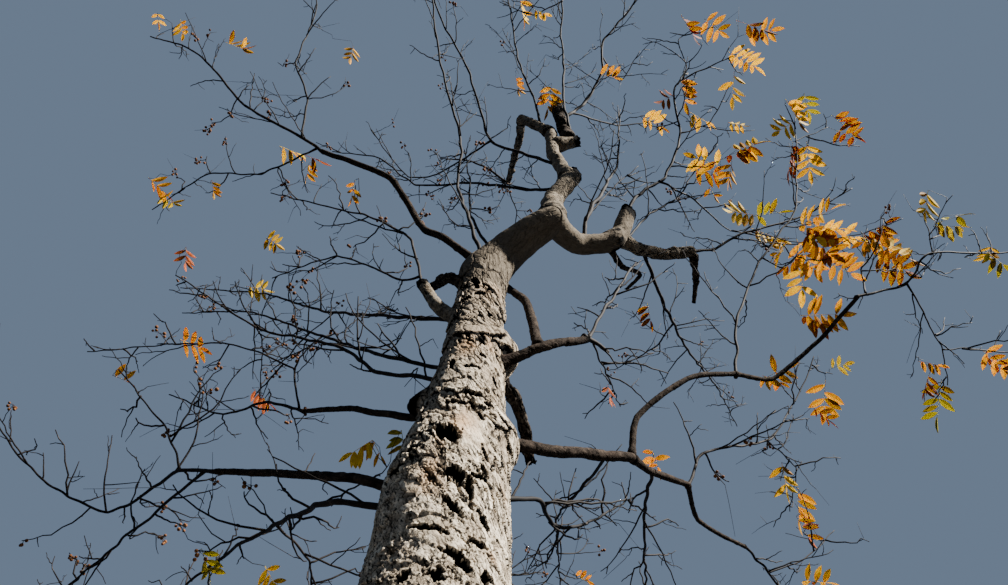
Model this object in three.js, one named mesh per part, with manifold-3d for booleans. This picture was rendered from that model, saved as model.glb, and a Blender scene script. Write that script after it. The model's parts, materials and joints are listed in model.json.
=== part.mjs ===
// A bare winter tree that was once lopped: a leaning trunk with root flare and burls, thick old arms that
// end in cut stubs, crooked boughs that spring from them, and the twigs, last leaves and small round fruit
// that they carry.
// Millimetres, +Z up. The origin is the middle of the flat cut under the trunk, at ground level.
import * as THREE from "three";
import { mergeVertices } from "three/addons/utils/BufferGeometryUtils.js";
import Module from "manifold-3d";

const wasm = await Module();
wasm.setup();

// Clear space left between two pieces that meet.
const JOINT_GAP = 0.3;
// How far back inside its parent a limb begins, before it is cut to meet the parent's skin.
const ROOT_DEPTH = 25;

const TRUNK_SIDES = 12;
const ARM_SIDES = 8;
// A limb thicker than this at its foot is an old arm.
const ARM_GIRTH = 60;
const BOUGH_SIDES = 6;
const STEM_SIDES = 4;
const TWIG_SIDES = 3;
// Rings along each leg of a limb's course.
const TRUNK_STEPS = 3;
const BOUGH_STEPS = 2;

// The trunk's middle line from the ground to the fork: x, y, height and diameter.
const TRUNK_STATIONS = [
  [0, 0, 0, 560],
  [0, 0, 130, 470],
  [0, 0, 400, 408],
  [5, 0, 1000, 372],
  [12, 0, 2000, 350],
  [20, 0, 2900, 333],
  [20, 0, 3300, 322],
  [45, 0, 3650, 262],
  [55, 0, 4000, 232],
  [60, 0, 4400, 216],
  [72, -8, 4750, 206],
  [85, -25, 4930, 212],
  [150, -65, 5080, 190],
  [270, -140, 5190, 168],
  [400, -205, 5265, 150],
  [450, -225, 5285, 120],
];
// The swellings of the root flare: how many, their turn about the trunk, how far they rise and how soon they
// fade.
const ROOT_LOBES = 5;
const ROOT_LOBE_TURN = 0.6;
const ROOT_LOBE_RISE = 0.17;
const ROOT_LOBE_FADE = 190;
// Burls on the trunk: height, compass side they face, how far they stand out and how wide they spread.
const BURLS = [
  { height: 3480, faces: 95, rise: 42, spread: 95 },
  { height: 4180, faces: 88, rise: 58, spread: 70 },
  { height: 3740, faces: 272, rise: 58, spread: 62 },
  { height: 4960, faces: 262, rise: 22, spread: 80 },
];

// A leg is [length, compass heading in degrees from +Y towards +X, rise in degrees above level].
// A limb grows from its parent at a share of the parent's course, or from the trunk at a height.
// girth holds the diameters at its two ends.
const BOUGHS = [
  { name: "upper_arm", from: "trunk", at: 0.99, girth: [124, 116], legs: [[490, 75, 85], [590, 97, 74]] },
  { name: "upper_arm_top", from: "upper_arm", at: 0.88, girth: [94, 90],
    legs: [[550, 223, 79], [430, 165, 80]] },
  { name: "side_stub", from: "upper_arm_top", at: 0.7, girth: [90, 84], dead: true, legs: [[220, 95, 30]] },
  { name: "crown_stub", from: "side_stub", at: 0.65, girth: [98, 88], dead: true,
    legs: [[400, 200, 75], [410, 185, 80]] },
  { name: "top_arm", from: "upper_arm_top", at: 0.97, girth: [74, 66], legs: [[470, 255, 60]] },
  { name: "top_back_arm", from: "top_arm", at: 0.9, girth: [66, 50],
    legs: [[390, 355, 60], [430, 350, 50], [300, 350, 45]] },
  { name: "right_arm", from: "trunk", at: 0.99, girth: [126, 106], legs: [[220, 45, 25], [230, 85, 30]] },
  { name: "right_stub", from: "right_arm", at: 0.95, girth: [106, 98], dead: true, legs: [[320, 120, 60]] },
  { name: "right_arm_end", from: "right_stub", at: 0.25, girth: [72, 66],
    legs: [[140, 55, 5], [150, 65, 25], [280, 85, 25]] },
  { name: "hanging_stub", from: "right_arm_end", at: 0.97, girth: [46, 26], dead: true,
    legs: [[140, 5, -25], [160, 350, -40]] },
  { name: "curled_branch", from: "right_arm", at: 0.9, girth: [36, 18], dead: true,
    legs: [[160, 35, -10], [170, 55, 35], [110, 315, -15]] },
  { name: "left_bough", from: "trunk", height: 4980, girth: [40, 30],
    legs: [[290, 240, 30], [150, 265, 45], [480, 230, 55], [590, 260, 40]] },
  { name: "left_lopped_bough", from: "trunk", height: 4400, girth: [62, 56],
    legs: [[220, 265, 45], [240, 250, 65]] },
  { name: "hollow_stub", from: "trunk", height: 4720, girth: [56, 50], dead: true,
    legs: [[230, 260, 50], [210, 315, 50]] },
  { name: "left_mid_bough", from: "trunk", height: 3650, girth: [30, 20],
    legs: [[330, 295, 40], [340, 295, 45], [380, 300, 40]] },
  { name: "left_low_bough", from: "trunk", height: 3200, girth: [34, 24],
    legs: [[350, 285, 40], [440, 300, 40], [490, 295, 35]] },
  { name: "right_broken_bough", from: "trunk", height: 3950, girth: [46, 32],
    legs: [[290, 100, 30], [280, 75, 45]] },
  { name: "climbing_bough", from: "right_broken_bough", at: 0.5, girth: [42, 34],
    legs: [[560, 315, 85], [510, 325, 75], [560, 255, 80]] },
  { name: "dark_stub", from: "trunk", height: 4050, girth: [54, 42], dead: true,
    legs: [[220, 45, 10], [250, 15, -20]] },
  { name: "right_low_bough", from: "trunk", height: 3550, girth: [48, 38],
    legs: [[470, 60, 30], [360, 60, 35]] },
  { name: "right_climbing_bough", from: "right_low_bough", at: 0.98, girth: [28, 23],
    legs: [[220, 135, 70], [350, 100, 45], [330, 75, 35]] },
  { name: "right_reaching_bough", from: "right_climbing_bough", at: 0.98, girth: [23, 20],
    legs: [[250, 70, 25], [350, 110, 35], [370, 120, 35]] },
  { name: "right_falling_bough", from: "right_low_bough", at: 0.98, girth: [32, 26],
    legs: [[160, 40, 30], [290, 50, 30]] },
  { name: "right_far_bough", from: "right_falling_bough", at: 0.98, girth: [22, 19],
    legs: [[380, 20, 30], [470, 45, 25]] },
  { name: "far_bough", from: "trunk", height: 3900, girth: [52, 34], legs: [[720, 358, 32], [690, 2, 28]] },
  { name: "far_high_bough", from: "trunk", height: 4400, girth: [50, 30],
    legs: [[1000, 2, 32], [1030, 358, 28]] },
];

// A mass of twigs: its first stem meets its bough's tip or the trunk, and each further stem forks from the
// first, or from the stem of the number that on gives, at a share of that stem's length.
// leafShare and fruitShare are the shares of its twigs' joints that still hold a spray of leaves or a fruit.
const MASSES = [
  { name: "left_top_twigs", from: "left_bough", at: 1, leafShare: 0.12, fruitShare: 0.16, stems: [
    { girth: [26, 12], legs: [[210, 245, 35], [530, 250, 35], [670, 235, 40], [580, 260, 40]] },
    { at: 0.1, girth: [20, 10], legs: [[450, 195, 65], [410, 215, 55], [710, 175, 60], [520, 190, 20]] },
    { at: 0.03, girth: [17, 9], legs: [[500, 295, 25], [410, 275, 25], [560, 300, 15]] } ] },
  { name: "left_lopped_twigs", from: "left_lopped_bough", at: 1, leafShare: 0.06, fruitShare: 0.14, stems: [
    { girth: [20, 9], legs: [[400, 220, 70], [430, 265, 55], [900, 270, 40]] },
    { at: 0.05, girth: [16, 9], legs: [[150, 300, 45], [640, 275, 50], [760, 300, 40]] } ] },
  { name: "left_middle_twigs", from: "trunk", height: 4450, leafShare: 0.1, fruitShare: 0.14, stems: [
    { girth: [28, 9], legs: [[550, 290, 45], [840, 295, 50], [970, 285, 50], [1100, 285, 40]] } ] },
  { name: "left_lower_twigs", from: "trunk", height: 3850, leafShare: 0.1, fruitShare: 0.14, stems: [
    { girth: [26, 9],
      legs: [[290, 285, 45], [280, 290, 45], [300, 275, 55], [770, 285, 45], [780, 260, 40]] } ] },
  { name: "left_behind_twigs", from: "trunk", height: 3960, leafShare: 0.1, fruitShare: 0.14, stems: [
    { girth: [25, 9], legs: [[550, 285, 45], [620, 295, 55], [1010, 285, 50], [870, 290, 40]] },
    { at: 0.72, girth: [13, 8], legs: [[420, 355, 40], [840, 340, 35]] } ] },
  { name: "left_mid_twigs", from: "left_mid_bough", at: 1, leafShare: 0.08, fruitShare: 0.14, stems: [
    { girth: [20, 9], legs: [[370, 290, 45], [440, 305, 35], [550, 280, 40]] },
    { at: 0.04, girth: [13, 8], legs: [[260, 225, 65], [570, 275, 40], [1050, 285, 25]] } ] },
  { name: "left_low_twigs", from: "left_low_bough", at: 1, leafShare: 0.06, fruitShare: 0.12, stems: [
    { girth: [22, 9],
      legs: [[300, 295, 35], [710, 310, 25], [450, 270, 30], [450, 250, 35], [560, 205, 30]] },
    { at: 0.04, girth: [18, 10], legs: [[790, 315, 20], [990, 315, 20], [670, 315, 20]] },
    { at: 0.12, girth: [13, 8], legs: [[240, 240, 55], [520, 255, 45]] } ] },
  { name: "left_far_twigs", from: "trunk", height: 3150, leafShare: 0.1, fruitShare: 0.12, stems: [
    { girth: [28, 10],
      legs: [[380, 285, 30], [500, 320, 40], [660, 320, 35], [870, 320, 25], [560, 335, 35]] },
    { at: 0.33, girth: [13, 8], legs: [[330, 10, 30], [1330, 345, 35], [420, 335, 35]] } ] },
  { name: "climbing_twigs", from: "climbing_bough", at: 1, leafShare: 0.08, fruitShare: 0.1, stems: [
    { girth: [28, 10], legs: [[480, 235, 70], [560, 195, 80], [520, 205, 75]] } ] },
  { name: "right_broken_twigs", from: "right_broken_bough", at: 1, leafShare: 0.12, fruitShare: 0, stems: [
    { girth: [28, 20], legs: [[150, 50, 20]] },
    { at: 0.2, girth: [20, 14], legs: [[340, 100, 70], [620, 90, 70]] },
    { at: 0.4, girth: [11, 7], legs: [[300, 20, 40], [590, 20, 45]] } ] },
  { name: "right_tip_twigs", from: "right_reaching_bough", at: 1, leafShare: 0.65, fruitShare: 0.03, stems: [
    { girth: [19, 9], legs: [[400, 90, 30], [270, 120, 40], [600, 85, 20], [340, 110, 20]] },
    { at: 0.25, girth: [14, 8], legs: [[640, 40, 20], [410, 30, 25]] },
    { at: 0.05, girth: [14, 8], legs: [[250, 130, 70], [270, 105, 50], [160, 210, 65]] },
    { at: 0.44, girth: [10, 7], legs: [[290, 165, 55]] },
    { on: 1, at: 0.63, girth: [10, 7], legs: [[210, 85, 15], [230, 80, 10]] } ] },
  { name: "right_rising_twigs", from: "right_climbing_bough", at: 1, leafShare: 0.6, fruitShare: 0.03,
    stems: [
    { girth: [20, 9], legs: [[400, 145, 65], [530, 120, 60], [560, 120, 50], [930, 150, 60]] },
    { at: 0.4, girth: [11, 7], legs: [[140, 60, 15], [230, 105, 40]] },
    { at: 0.89, girth: [9, 7], legs: [[390, 100, 40]] } ] },
  { name: "right_branching_twigs", from: "right_falling_bough", at: 1, leafShare: 0.45, fruitShare: 0.03,
    stems: [
    { girth: [19, 9], legs: [[310, 85, 65], [620, 70, 40], [480, 100, 55], [320, 120, 55]] },
    { at: 0.5, girth: [11, 7], legs: [[590, 40, 35], [590, 15, 30]] } ] },
  { name: "right_far_twigs", from: "right_far_bough", at: 1, leafShare: 0.3, fruitShare: 0.03, stems: [
    { girth: [18, 9], legs: [[520, 35, 20], [690, 25, 25], [430, 40, 30]] },
    { at: 0.2, girth: [11, 7], legs: [[270, 85, 30], [370, 85, 45]] } ] },
  { name: "far_right_twigs", from: "right_falling_bough", at: 0.4, leafShare: 0.15, fruitShare: 0.05, stems: [
    { girth: [22, 10], legs: [[470, 5, 35], [900, 10, 30], [860, 10, 25]] } ] },
  { name: "far_middle_twigs", from: "right_low_bough", at: 0.8, leafShare: 0.12, fruitShare: 0.06, stems: [
    { girth: [17, 9], legs: [[610, 350, 40], [460, 355, 45], [1070, 5, 35], [890, 5, 25]] } ] },
  { name: "right_foot_twigs", from: "trunk", height: 3200, leafShare: 0.15, fruitShare: 0, stems: [
    { girth: [26, 9], legs: [[470, 50, 45], [250, 15, 35], [250, 40, 45], [750, 45, 55]] } ] },
  { name: "right_back_twigs", from: "right_arm_end", at: 0.35, leafShare: 0.2, fruitShare: 0.04, stems: [
    { girth: [29, 10], legs: [[510, 25, 25], [780, 30, 40], [780, 35, 40], [910, 30, 35]] },
    { at: 0.25, girth: [16, 9], legs: [[300, 350, 40], [590, 340, 50]] } ] },
  { name: "right_stub_twigs", from: "right_stub", at: 1, leafShare: 0.5, fruitShare: 0.04, stems: [
    { girth: [30, 10],
      legs: [[190, 135, 60], [340, 105, 50], [420, 140, 55], [490, 175, 55], [660, 110, 35]] },
    { at: 0.22, girth: [18, 9], legs: [[340, 60, 30], [400, 50, 20], [210, 75, 30]] },
    { at: 0.7, girth: [13, 8], legs: [[210, 140, 50], [250, 190, 50], [220, 120, 45]] },
    { at: 0.47, girth: [12, 8], legs: [[260, 100, 35], [370, 140, 40]] } ] },
  { name: "right_end_twigs", from: "right_arm_end", at: 1, leafShare: 0.75, fruitShare: 0.03, stems: [
    { girth: [24, 9], legs: [[190, 85, 35], [240, 100, 45], [570, 95, 30], [530, 105, 35]] },
    { at: 0.25, girth: [12, 7], legs: [[420, 80, 15], [430, 95, 10], [330, 105, 15]] } ] },
  { name: "right_shoot_twigs", from: "right_arm_end", at: 0.12, leafShare: 0.45, fruitShare: 0.03, stems: [
    { girth: [21, 9], legs: [[430, 105, 60], [380, 95, 55], [310, 125, 55], [350, 125, 45]] } ] },
  { name: "shoulder_twigs", from: "right_arm", at: 0.6, leafShare: 0.25, fruitShare: 0.05, stems: [
    { girth: [36, 9], legs: [[160, 170, 55], [360, 125, 65], [380, 115, 70], [680, 160, 65]] },
    { at: 0.15, girth: [13, 8], legs: [[330, 115, 60], [360, 110, 55]] } ] },
  { name: "front_left_twigs", from: "trunk", at: 0.9, leafShare: 0.15, fruitShare: 0.1, stems: [
    { girth: [30, 10], legs: [[550, 215, 70], [390, 225, 75], [480, 180, 65], [620, 200, 45], [790, 190, 35],
      [620, 195, 10]] },
    { at: 0.8, girth: [13, 8], legs: [[420, 165, 0], [430, 185, -25]] } ] },
  { name: "top_left_twigs", from: "upper_arm_top", at: 0.3, leafShare: 0.12, fruitShare: 0.12, stems: [
    { girth: [32, 10], legs: [[430, 265, 55], [320, 260, 50], [580, 200, 40], [630, 210, 35], [570, 190, 25],
      [480, 200, 5]] },
    { at: 0.25, girth: [20, 10], legs: [[550, 305, 25], [370, 285, 45], [550, 225, 35]] } ] },
  { name: "upper_left_twigs", from: "upper_arm", at: 0.75, leafShare: 0.1, fruitShare: 0.14, stems: [
    { girth: [30, 10],
      legs: [[340, 295, 55], [510, 275, 45], [570, 280, 35], [440, 245, 45], [510, 270, 35]] } ] },
  { name: "top_back_twigs", from: "top_back_arm", at: 1, leafShare: 0.12, fruitShare: 0.12, stems: [
    { girth: [34, 12], legs: [[450, 245, 35], [350, 270, 25]] },
    { at: 0.1, girth: [18, 9], legs: [[420, 20, 30], [460, 350, 20]] } ] },
  { name: "top_front_twigs", from: "side_stub", at: 0.8, leafShare: 0.3, fruitShare: 0.06, stems: [
    { girth: [30, 10],
      legs: [[510, 190, 65], [470, 175, 60], [470, 180, 55], [840, 175, 35], [560, 180, 10]] },
    { at: 0.6, girth: [15, 9], legs: [[300, 295, 30], [370, 250, 35]] },
    { at: 0.72, girth: [13, 8], legs: [[480, 165, -5], [420, 180, -30]] } ] },
  { name: "top_right_twigs", from: "crown_stub", at: 0.5, leafShare: 0.35, fruitShare: 0.04, stems: [
    { girth: [36, 10], legs: [[430, 115, 55], [390, 145, 50], [310, 175, 50], [580, 135, 40], [550, 165, 20],
      [520, 170, 0]] },
    { at: 0.06, girth: [22, 10], legs: [[540, 70, 40], [500, 90, 35]] },
    { at: 0.35, girth: [16, 9], legs: [[260, 40, 10], [380, 140, 40]] } ] },
  { name: "top_middle_twigs", from: "top_arm", at: 0.3, leafShare: 0.25, fruitShare: 0.08, stems: [
    { girth: [29, 10],
      legs: [[530, 195, 70], [440, 205, 55], [410, 190, 45], [640, 190, 35], [480, 205, 10]] } ] },
  { name: "far_twigs", from: "far_bough", at: 1, leafShare: 0.15, fruitShare: 0.08, stems: [
    { girth: [30, 10], legs: [[560, 340, 25], [620, 328, 30], [450, 340, 35]] },
    { at: 0.05, girth: [24, 10], legs: [[560, 28, 22], [620, 40, 32]] } ] },
  { name: "far_high_twigs", from: "far_high_bough", at: 1, leafShare: 0.15, fruitShare: 0.08, stems: [
    { girth: [28, 10], legs: [[420, 352, 18], [520, 338, 40], [520, 345, 50]] },
    { at: 0.2, girth: [22, 9], legs: [[480, 25, 35], [560, 40, 45]] } ] },
];

// The growing rule for twigs along a stem: where they start, their lengths, their angle from the stem and how
// far it strays, the turn from each to the next and how far it strays, and the bend at their joints.
const TWIG = {
  firstShare: 0.16,
  lastShare: 0.98,
  strayShare: [0.2, 0.8],
  spacing: 480,
  longest: 470,
  shortest: 190,
  strayLength: [0.7, 1.1],
  girth: 8.5,
  leave: 52,
  strayLeave: 12,
  turn: 137.5,
  strayTurn: 25,
  zigzag: 17,
  uplift: 0.22,
  joints: 1,
};
// A spray of leaves is one slim leaf, larger than life, and a fruit is a small round drupe.
const LEAF = { length: 150, width: 52, thickness: 7, sunk: 0.12 };
const FRUIT = { diameter: 27, sunk: 0.3 };
// How far a hanging spray or fruit leans to a side, how steeply it droops and how far that strays.
const HANGING = { lean: 0.6, droop: 0.75, strayDroop: 0.7 };
// Clear space kept round every other mass and limb by a twig or a leaf.
const TWIG_CLEARANCE = 9;
// A mass with a larger share of leaves than this takes the colour of its leaves.
const LEAFY_FROM = 0.2;

const DEGREE = Math.PI / 180;
// The shares on each side of a point on a course that its direction is taken from.
const DIRECTION_REACH = 0.02;
// A repeatable run of numbers: its range, the steps that fold places into a seed, and how many are passed
// over.
const SEED_RANGE = 2147483647;
const SEED_FOLD = 613;
const SEED_SPREAD = 104729;
const SEED_STEP = 48271;
const PASSED_OVER = 4;

const BARK = { color: 0x9b8e7f, roughness: 0.95, metalness: 0 };
const DARK_BARK = { color: 0x5d5148, roughness: 0.95, metalness: 0 };
const TWIG_BARK = { color: 0x6b5a50, roughness: 0.85, metalness: 0 };
const LEAFY_TWIG = { color: 0xa9803a, roughness: 0.8, metalness: 0 };

// A repeatable run of numbers from 0 to 1, one for each mass, stem and twig.
class Chance {
  constructor(...places) {
    this.state = places.reduce((sum, place) => (sum * SEED_FOLD + place + 1) % SEED_RANGE, 1);
    this.state = (this.state * SEED_SPREAD) % SEED_RANGE;
    for (let i = 0; i < PASSED_OVER; i++) this.next();
  }

  next() {
    this.state = (this.state * SEED_STEP) % SEED_RANGE;
    return this.state / SEED_RANGE;
  }

  between(low, high) {
    return low + (high - low) * this.next();
  }
}

// The unit direction of a compass heading and a rise.
function direction(heading, rise) {
  const level = Math.cos(rise * DEGREE);
  return new THREE.Vector3(
    Math.sin(heading * DEGREE) * level,
    Math.cos(heading * DEGREE) * level,
    Math.sin(rise * DEGREE),
  );
}

// The joints of a course that starts at a point and follows its legs.
function walk(start, legs) {
  const joints = [start.clone()];
  for (const [length, heading, rise] of legs) {
    joints.push(joints.at(-1).clone().addScaledVector(direction(heading, rise), length));
  }
  return joints;
}

// A course's joints joined by a smooth curve, with a number of steps along each leg. A single leg stays
// straight.
function smooth(joints, steps) {
  if (joints.length === 2) return joints;
  const curve = new THREE.CatmullRomCurve3(joints, false, "centripetal");
  return curve.getPoints((joints.length - 1) * steps);
}

// The point at a share of a course's whole length.
function pointAlong(course, share) {
  const lengths = course.slice(1).map((point, i) => point.distanceTo(course[i]));
  let left = share * lengths.reduce((sum, length) => sum + length, 0);
  for (let i = 0; i < lengths.length; i++) {
    if (left <= lengths[i]) return course[i].clone().lerp(course[i + 1], left / lengths[i]);
    left -= lengths[i];
  }
  return course.at(-1).clone();
}

// The direction of a course at a share of its length.
function directionAlong(course, share) {
  const before = pointAlong(course, Math.max(share - DIRECTION_REACH, 0));
  return pointAlong(course, Math.min(share + DIRECTION_REACH, 1)).sub(before).normalize();
}

// A frame at each point of a course, turned as little as possible from one point to the next.
function framesAlong(course) {
  const last = course.length - 1;
  const frames = [];
  let side = new THREE.Vector3(1, 0, 0);
  for (let i = 0; i <= last; i++) {
    const tangent = new THREE.Vector3();
    if (i > 0) tangent.add(course[i].clone().sub(course[i - 1]).normalize());
    if (i < last) tangent.add(course[i + 1].clone().sub(course[i]).normalize());
    tangent.normalize();
    side = side.clone().addScaledVector(tangent, -side.dot(tangent));
    if (side.lengthSq() < 0.01) side.set(0, 1, 0).addScaledVector(tangent, -tangent.y);
    side.normalize();
    frames.push({ tangent, side, across: tangent.clone().cross(side) });
  }
  return frames;
}

// A closed cylinder bent along a course: radiusAt(ring, angle) gives its radius. A tip of no radius is a
// point.
function bentCylinder(course, sides, radiusAt, pointed = false) {
  const rings = course.length - 1;
  const cylinder = new THREE.CylinderGeometry(pointed ? 0 : 1, 1, 1, sides, rings);
  const frames = framesAlong(course);
  const places = cylinder.attributes.position;
  const place = new THREE.Vector3();
  for (let i = 0; i < places.count; i++) {
    place.fromBufferAttribute(places, i);
    const ring = Math.round((place.y + 0.5) * rings);
    const { side, across } = frames[ring];
    const onAxis = Math.hypot(place.x, place.z) < 1e-6;
    const angle = Math.atan2(place.z, place.x);
    const radius = onAxis ? 0 : radiusAt(ring, angle);
    place.copy(course[ring])
      .addScaledVector(side, radius * Math.cos(angle))
      .addScaledVector(across, -radius * Math.sin(angle));
    places.setXYZ(i, place.x, place.y, place.z);
  }
  return cylinder;
}

// A closed three.js geometry as a solid that can be joined and cut.
function toSolid(geometry) {
  geometry.deleteAttribute("normal");
  geometry.deleteAttribute("uv");
  const merged = mergeVertices(geometry, 1e-4);
  return new wasm.Manifold(new wasm.Mesh({
    numProp: 3,
    vertProperties: new Float32Array(merged.attributes.position.array),
    triVerts: new Uint32Array(merged.index.array),
  }));
}

// A solid's largest single body, as a three.js geometry.
function toGeometry(solid) {
  const bodies = solid.decompose();
  const largest = bodies.reduce((best, body) => (body.volume() > best.volume() ? body : best));
  const mesh = largest.getMesh();
  const geometry = new THREE.BufferGeometry();
  geometry.setAttribute("position", new THREE.BufferAttribute(new Float32Array(mesh.vertProperties), 3));
  geometry.setIndex(new THREE.BufferAttribute(new Uint32Array(mesh.triVerts), 1));
  geometry.computeVertexNormals();
  return geometry;
}

// A course made longer at both ends, so that what is cut to it clears its end faces too.
function lengthened(course, margin) {
  const points = course.map((point) => point.clone());
  points[0].add(course[0].clone().sub(course[1]).setLength(margin));
  points[points.length - 1].add(course.at(-1).clone().sub(course.at(-2)).setLength(margin));
  return points;
}

// The shortest distance between two straight segments.
function segmentDistance(startA, endA, startB, endB) {
  const a = endA.clone().sub(startA);
  const b = endB.clone().sub(startB);
  const between = startA.clone().sub(startB);
  const aa = a.dot(a);
  const bb = b.dot(b);
  const ab = a.dot(b);
  const ac = a.dot(between);
  const bc = b.dot(between);
  const spread = aa * bb - ab * ab;
  let s = spread > 1e-9 ? THREE.MathUtils.clamp((ab * bc - ac * bb) / spread, 0, 1) : 0;
  const t = THREE.MathUtils.clamp((ab * s + bc) / bb, 0, 1);
  s = THREE.MathUtils.clamp((ab * t - ac) / aa, 0, 1);
  return startA.clone().addScaledVector(a, s).distanceTo(startB.clone().addScaledVector(b, t));
}

// Every round segment already placed, by the piece that owns it.
const placed = [];

function place(owner, course, radiusAt) {
  for (let i = 1; i < course.length; i++) {
    const radius = Math.max(radiusAt(i - 1), radiusAt(i));
    placed.push({ owner, start: course[i - 1], end: course[i], radius });
  }
}

// Whether a course keeps clear of every piece but its owner.
function isClear(owner, course, radius) {
  return placed.every((other) => other.owner === owner || course.slice(1).every((point, i) =>
    segmentDistance(course[i], point, other.start, other.end) > radius + other.radius + TWIG_CLEARANCE));
}

const courses = new Map();
const limbs = [];

// The trunk's radius at a height and compass angle: its taper, root lobes and burls.
function trunkRadius(point, outward, radius) {
  const heading = Math.atan2(outward.x, outward.y);
  const fade = Math.exp(-point.z / ROOT_LOBE_FADE);
  const lobes = Math.cos(ROOT_LOBES * heading + ROOT_LOBE_TURN) * ROOT_LOBE_RISE * fade;
  const burls = BURLS.reduce((sum, burl) => {
    const turn = Math.atan2(Math.sin(heading - burl.faces * DEGREE), Math.cos(heading - burl.faces * DEGREE));
    const away = Math.hypot(point.z - burl.height, turn * radius);
    return sum + burl.rise * Math.exp(-((away / burl.spread) ** 2));
  }, 0);
  return radius * (1 + lobes) + burls;
}

function growTrunk() {
  const joints = TRUNK_STATIONS.map(([x, y, z]) => new THREE.Vector3(x, y, z));
  const course = smooth(joints, TRUNK_STEPS);
  const frames = framesAlong(course);
  const plainRadius = (ring) => {
    const leg = Math.min(Math.floor(ring / TRUNK_STEPS), joints.length - 2);
    const share = ring / TRUNK_STEPS - leg;
    return THREE.MathUtils.lerp(TRUNK_STATIONS[leg][3], TRUNK_STATIONS[leg + 1][3], share) / 2;
  };
  const skin = (margin) => (ring, angle) => {
    const { side, across } = frames[ring];
    const outward = side.clone().multiplyScalar(Math.cos(angle)).addScaledVector(across, -Math.sin(angle));
    return trunkRadius(course[ring], outward, plainRadius(ring)) + margin;
  };
  const solid = toSolid(bentCylinder(course, TRUNK_SIDES, skin(0)));
  const grown = toSolid(bentCylinder(lengthened(course, JOINT_GAP), TRUNK_SIDES, skin(JOINT_GAP)));
  courses.set("trunk", course);
  place("trunk", course, plainRadius);
  limbs.push({ name: "trunk", solid, grown });
}

// Where a limb or mass begins on its parent, set back inside it.
function rootOf({ from, at, height, legs }) {
  const course = courses.get(from);
  const share = height === undefined ? at : shareAtHeight(course, height);
  const setBack = at === 1 ? ROOT_DEPTH : 0;
  return pointAlong(course, share).addScaledVector(direction(legs[0][1], legs[0][2]), -setBack);
}

// The share of the trunk's course at which it reaches a height.
function shareAtHeight(course, height) {
  let low = 0;
  let high = 1;
  for (let i = 0; i < 40; i++) {
    const middle = (low + high) / 2;
    if (pointAlong(course, middle).z < height) low = middle;
    else high = middle;
  }
  return low;
}

// A radius that falls evenly from one end of a course to the other.
function taper(course, [first, last]) {
  return (ring) => THREE.MathUtils.lerp(first, last, ring / (course.length - 1)) / 2;
}

// A solid less every limb, grown by the joint gap, that its box meets.
function cutClear(solid) {
  const box = solid.boundingBox();
  return limbs.reduce((rest, limb) => {
    const other = limb.grown.boundingBox();
    const isApart = (axis) => box.min[axis] > other.max[axis] || box.max[axis] < other.min[axis];
    const apart = [0, 1, 2].some(isApart);
    return apart ? rest : rest.subtract(limb.grown);
  }, solid);
}

function growBough(bough) {
  const course = smooth(walk(rootOf(bough), bough.legs), BOUGH_STEPS);
  const radius = taper(course, bough.girth);
  const sides = bough.girth[0] > ARM_GIRTH ? ARM_SIDES : BOUGH_SIDES;
  const whole = toSolid(bentCylinder(course, sides, radius));
  const reach = lengthened(course, JOINT_GAP);
  const grown = toSolid(bentCylinder(reach, sides, (ring) => radius(ring) + JOINT_GAP));
  const solid = cutClear(whole);
  courses.set(bough.name, course);
  place(bough.name, course, radius);
  limbs.push({ name: bough.name, dead: bough.dead, solid, grown });
}

// The courses of a mass's stems: the first from its bough, the others from forks on an earlier one.
function stemCourses(mass) {
  const stems = [];
  for (const { at, on = 0, legs } of mass.stems) {
    const start = stems.length ? pointAlong(stems[on], at) : rootOf({ ...mass, legs });
    stems.push(walk(start, legs));
  }
  return stems;
}

// A twig's course: it leaves the stem at an angle, turned on by the golden angle, and zigzags upwards.
function twigCourse(stem, share, number, chance) {
  const along = directionAlong(stem, share);
  const spin = (TWIG.turn * number + chance.between(-TWIG.strayTurn, TWIG.strayTurn)) * DEGREE;
  const leave = (TWIG.leave + chance.between(-TWIG.strayLeave, TWIG.strayLeave)) * DEGREE;
  const evenLength = THREE.MathUtils.lerp(TWIG.longest, TWIG.shortest, share);
  const length = evenLength * chance.between(...TWIG.strayLength);
  const [{ side, across }] = framesAlong([new THREE.Vector3(), along]);
  const outward = side.clone().multiplyScalar(Math.cos(spin)).addScaledVector(across, Math.sin(spin));
  const heading = along.clone().multiplyScalar(Math.cos(leave)).addScaledVector(outward, Math.sin(leave));
  heading.z += TWIG.uplift;
  heading.normalize();
  const bend = heading.clone().cross(along).normalize();
  const course = [pointAlong(stem, share)];
  for (let joint = 0; joint <= TWIG.joints; joint++) {
    const swing = (joint % 2 ? 1 : -1) * chance.between(0.5, 1) * TWIG.zigzag * DEGREE;
    const leg = heading.clone().applyAxisAngle(bend, swing);
    course.push(course.at(-1).clone().addScaledVector(leg, length / (TWIG.joints + 1)));
  }
  return course;
}

// All twigs of one stem that keep clear of every other piece.
function twigsOf(mass, massIndex, stem, stemIndex) {
  const lengths = stem.slice(1).reduce((sum, point, i) => sum + point.distanceTo(stem[i]), 0);
  const count = Math.max(Math.round(lengths / TWIG.spacing), 1);
  const twigs = [];
  for (let number = 0; number < count; number++) {
    const chance = new Chance(massIndex, stemIndex, number);
    const step = (number + chance.between(...TWIG.strayShare)) / count;
    const share = Math.min(THREE.MathUtils.lerp(TWIG.firstShare, 1, step), TWIG.lastShare);
    const course = twigCourse(stem, share, number, chance);
    if (!isClear(mass.name, course, TWIG.girth / 2)) continue;
    place(mass.name, course, () => TWIG.girth / 2);
    twigs.push({ course, chance });
  }
  return twigs;
}

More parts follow.
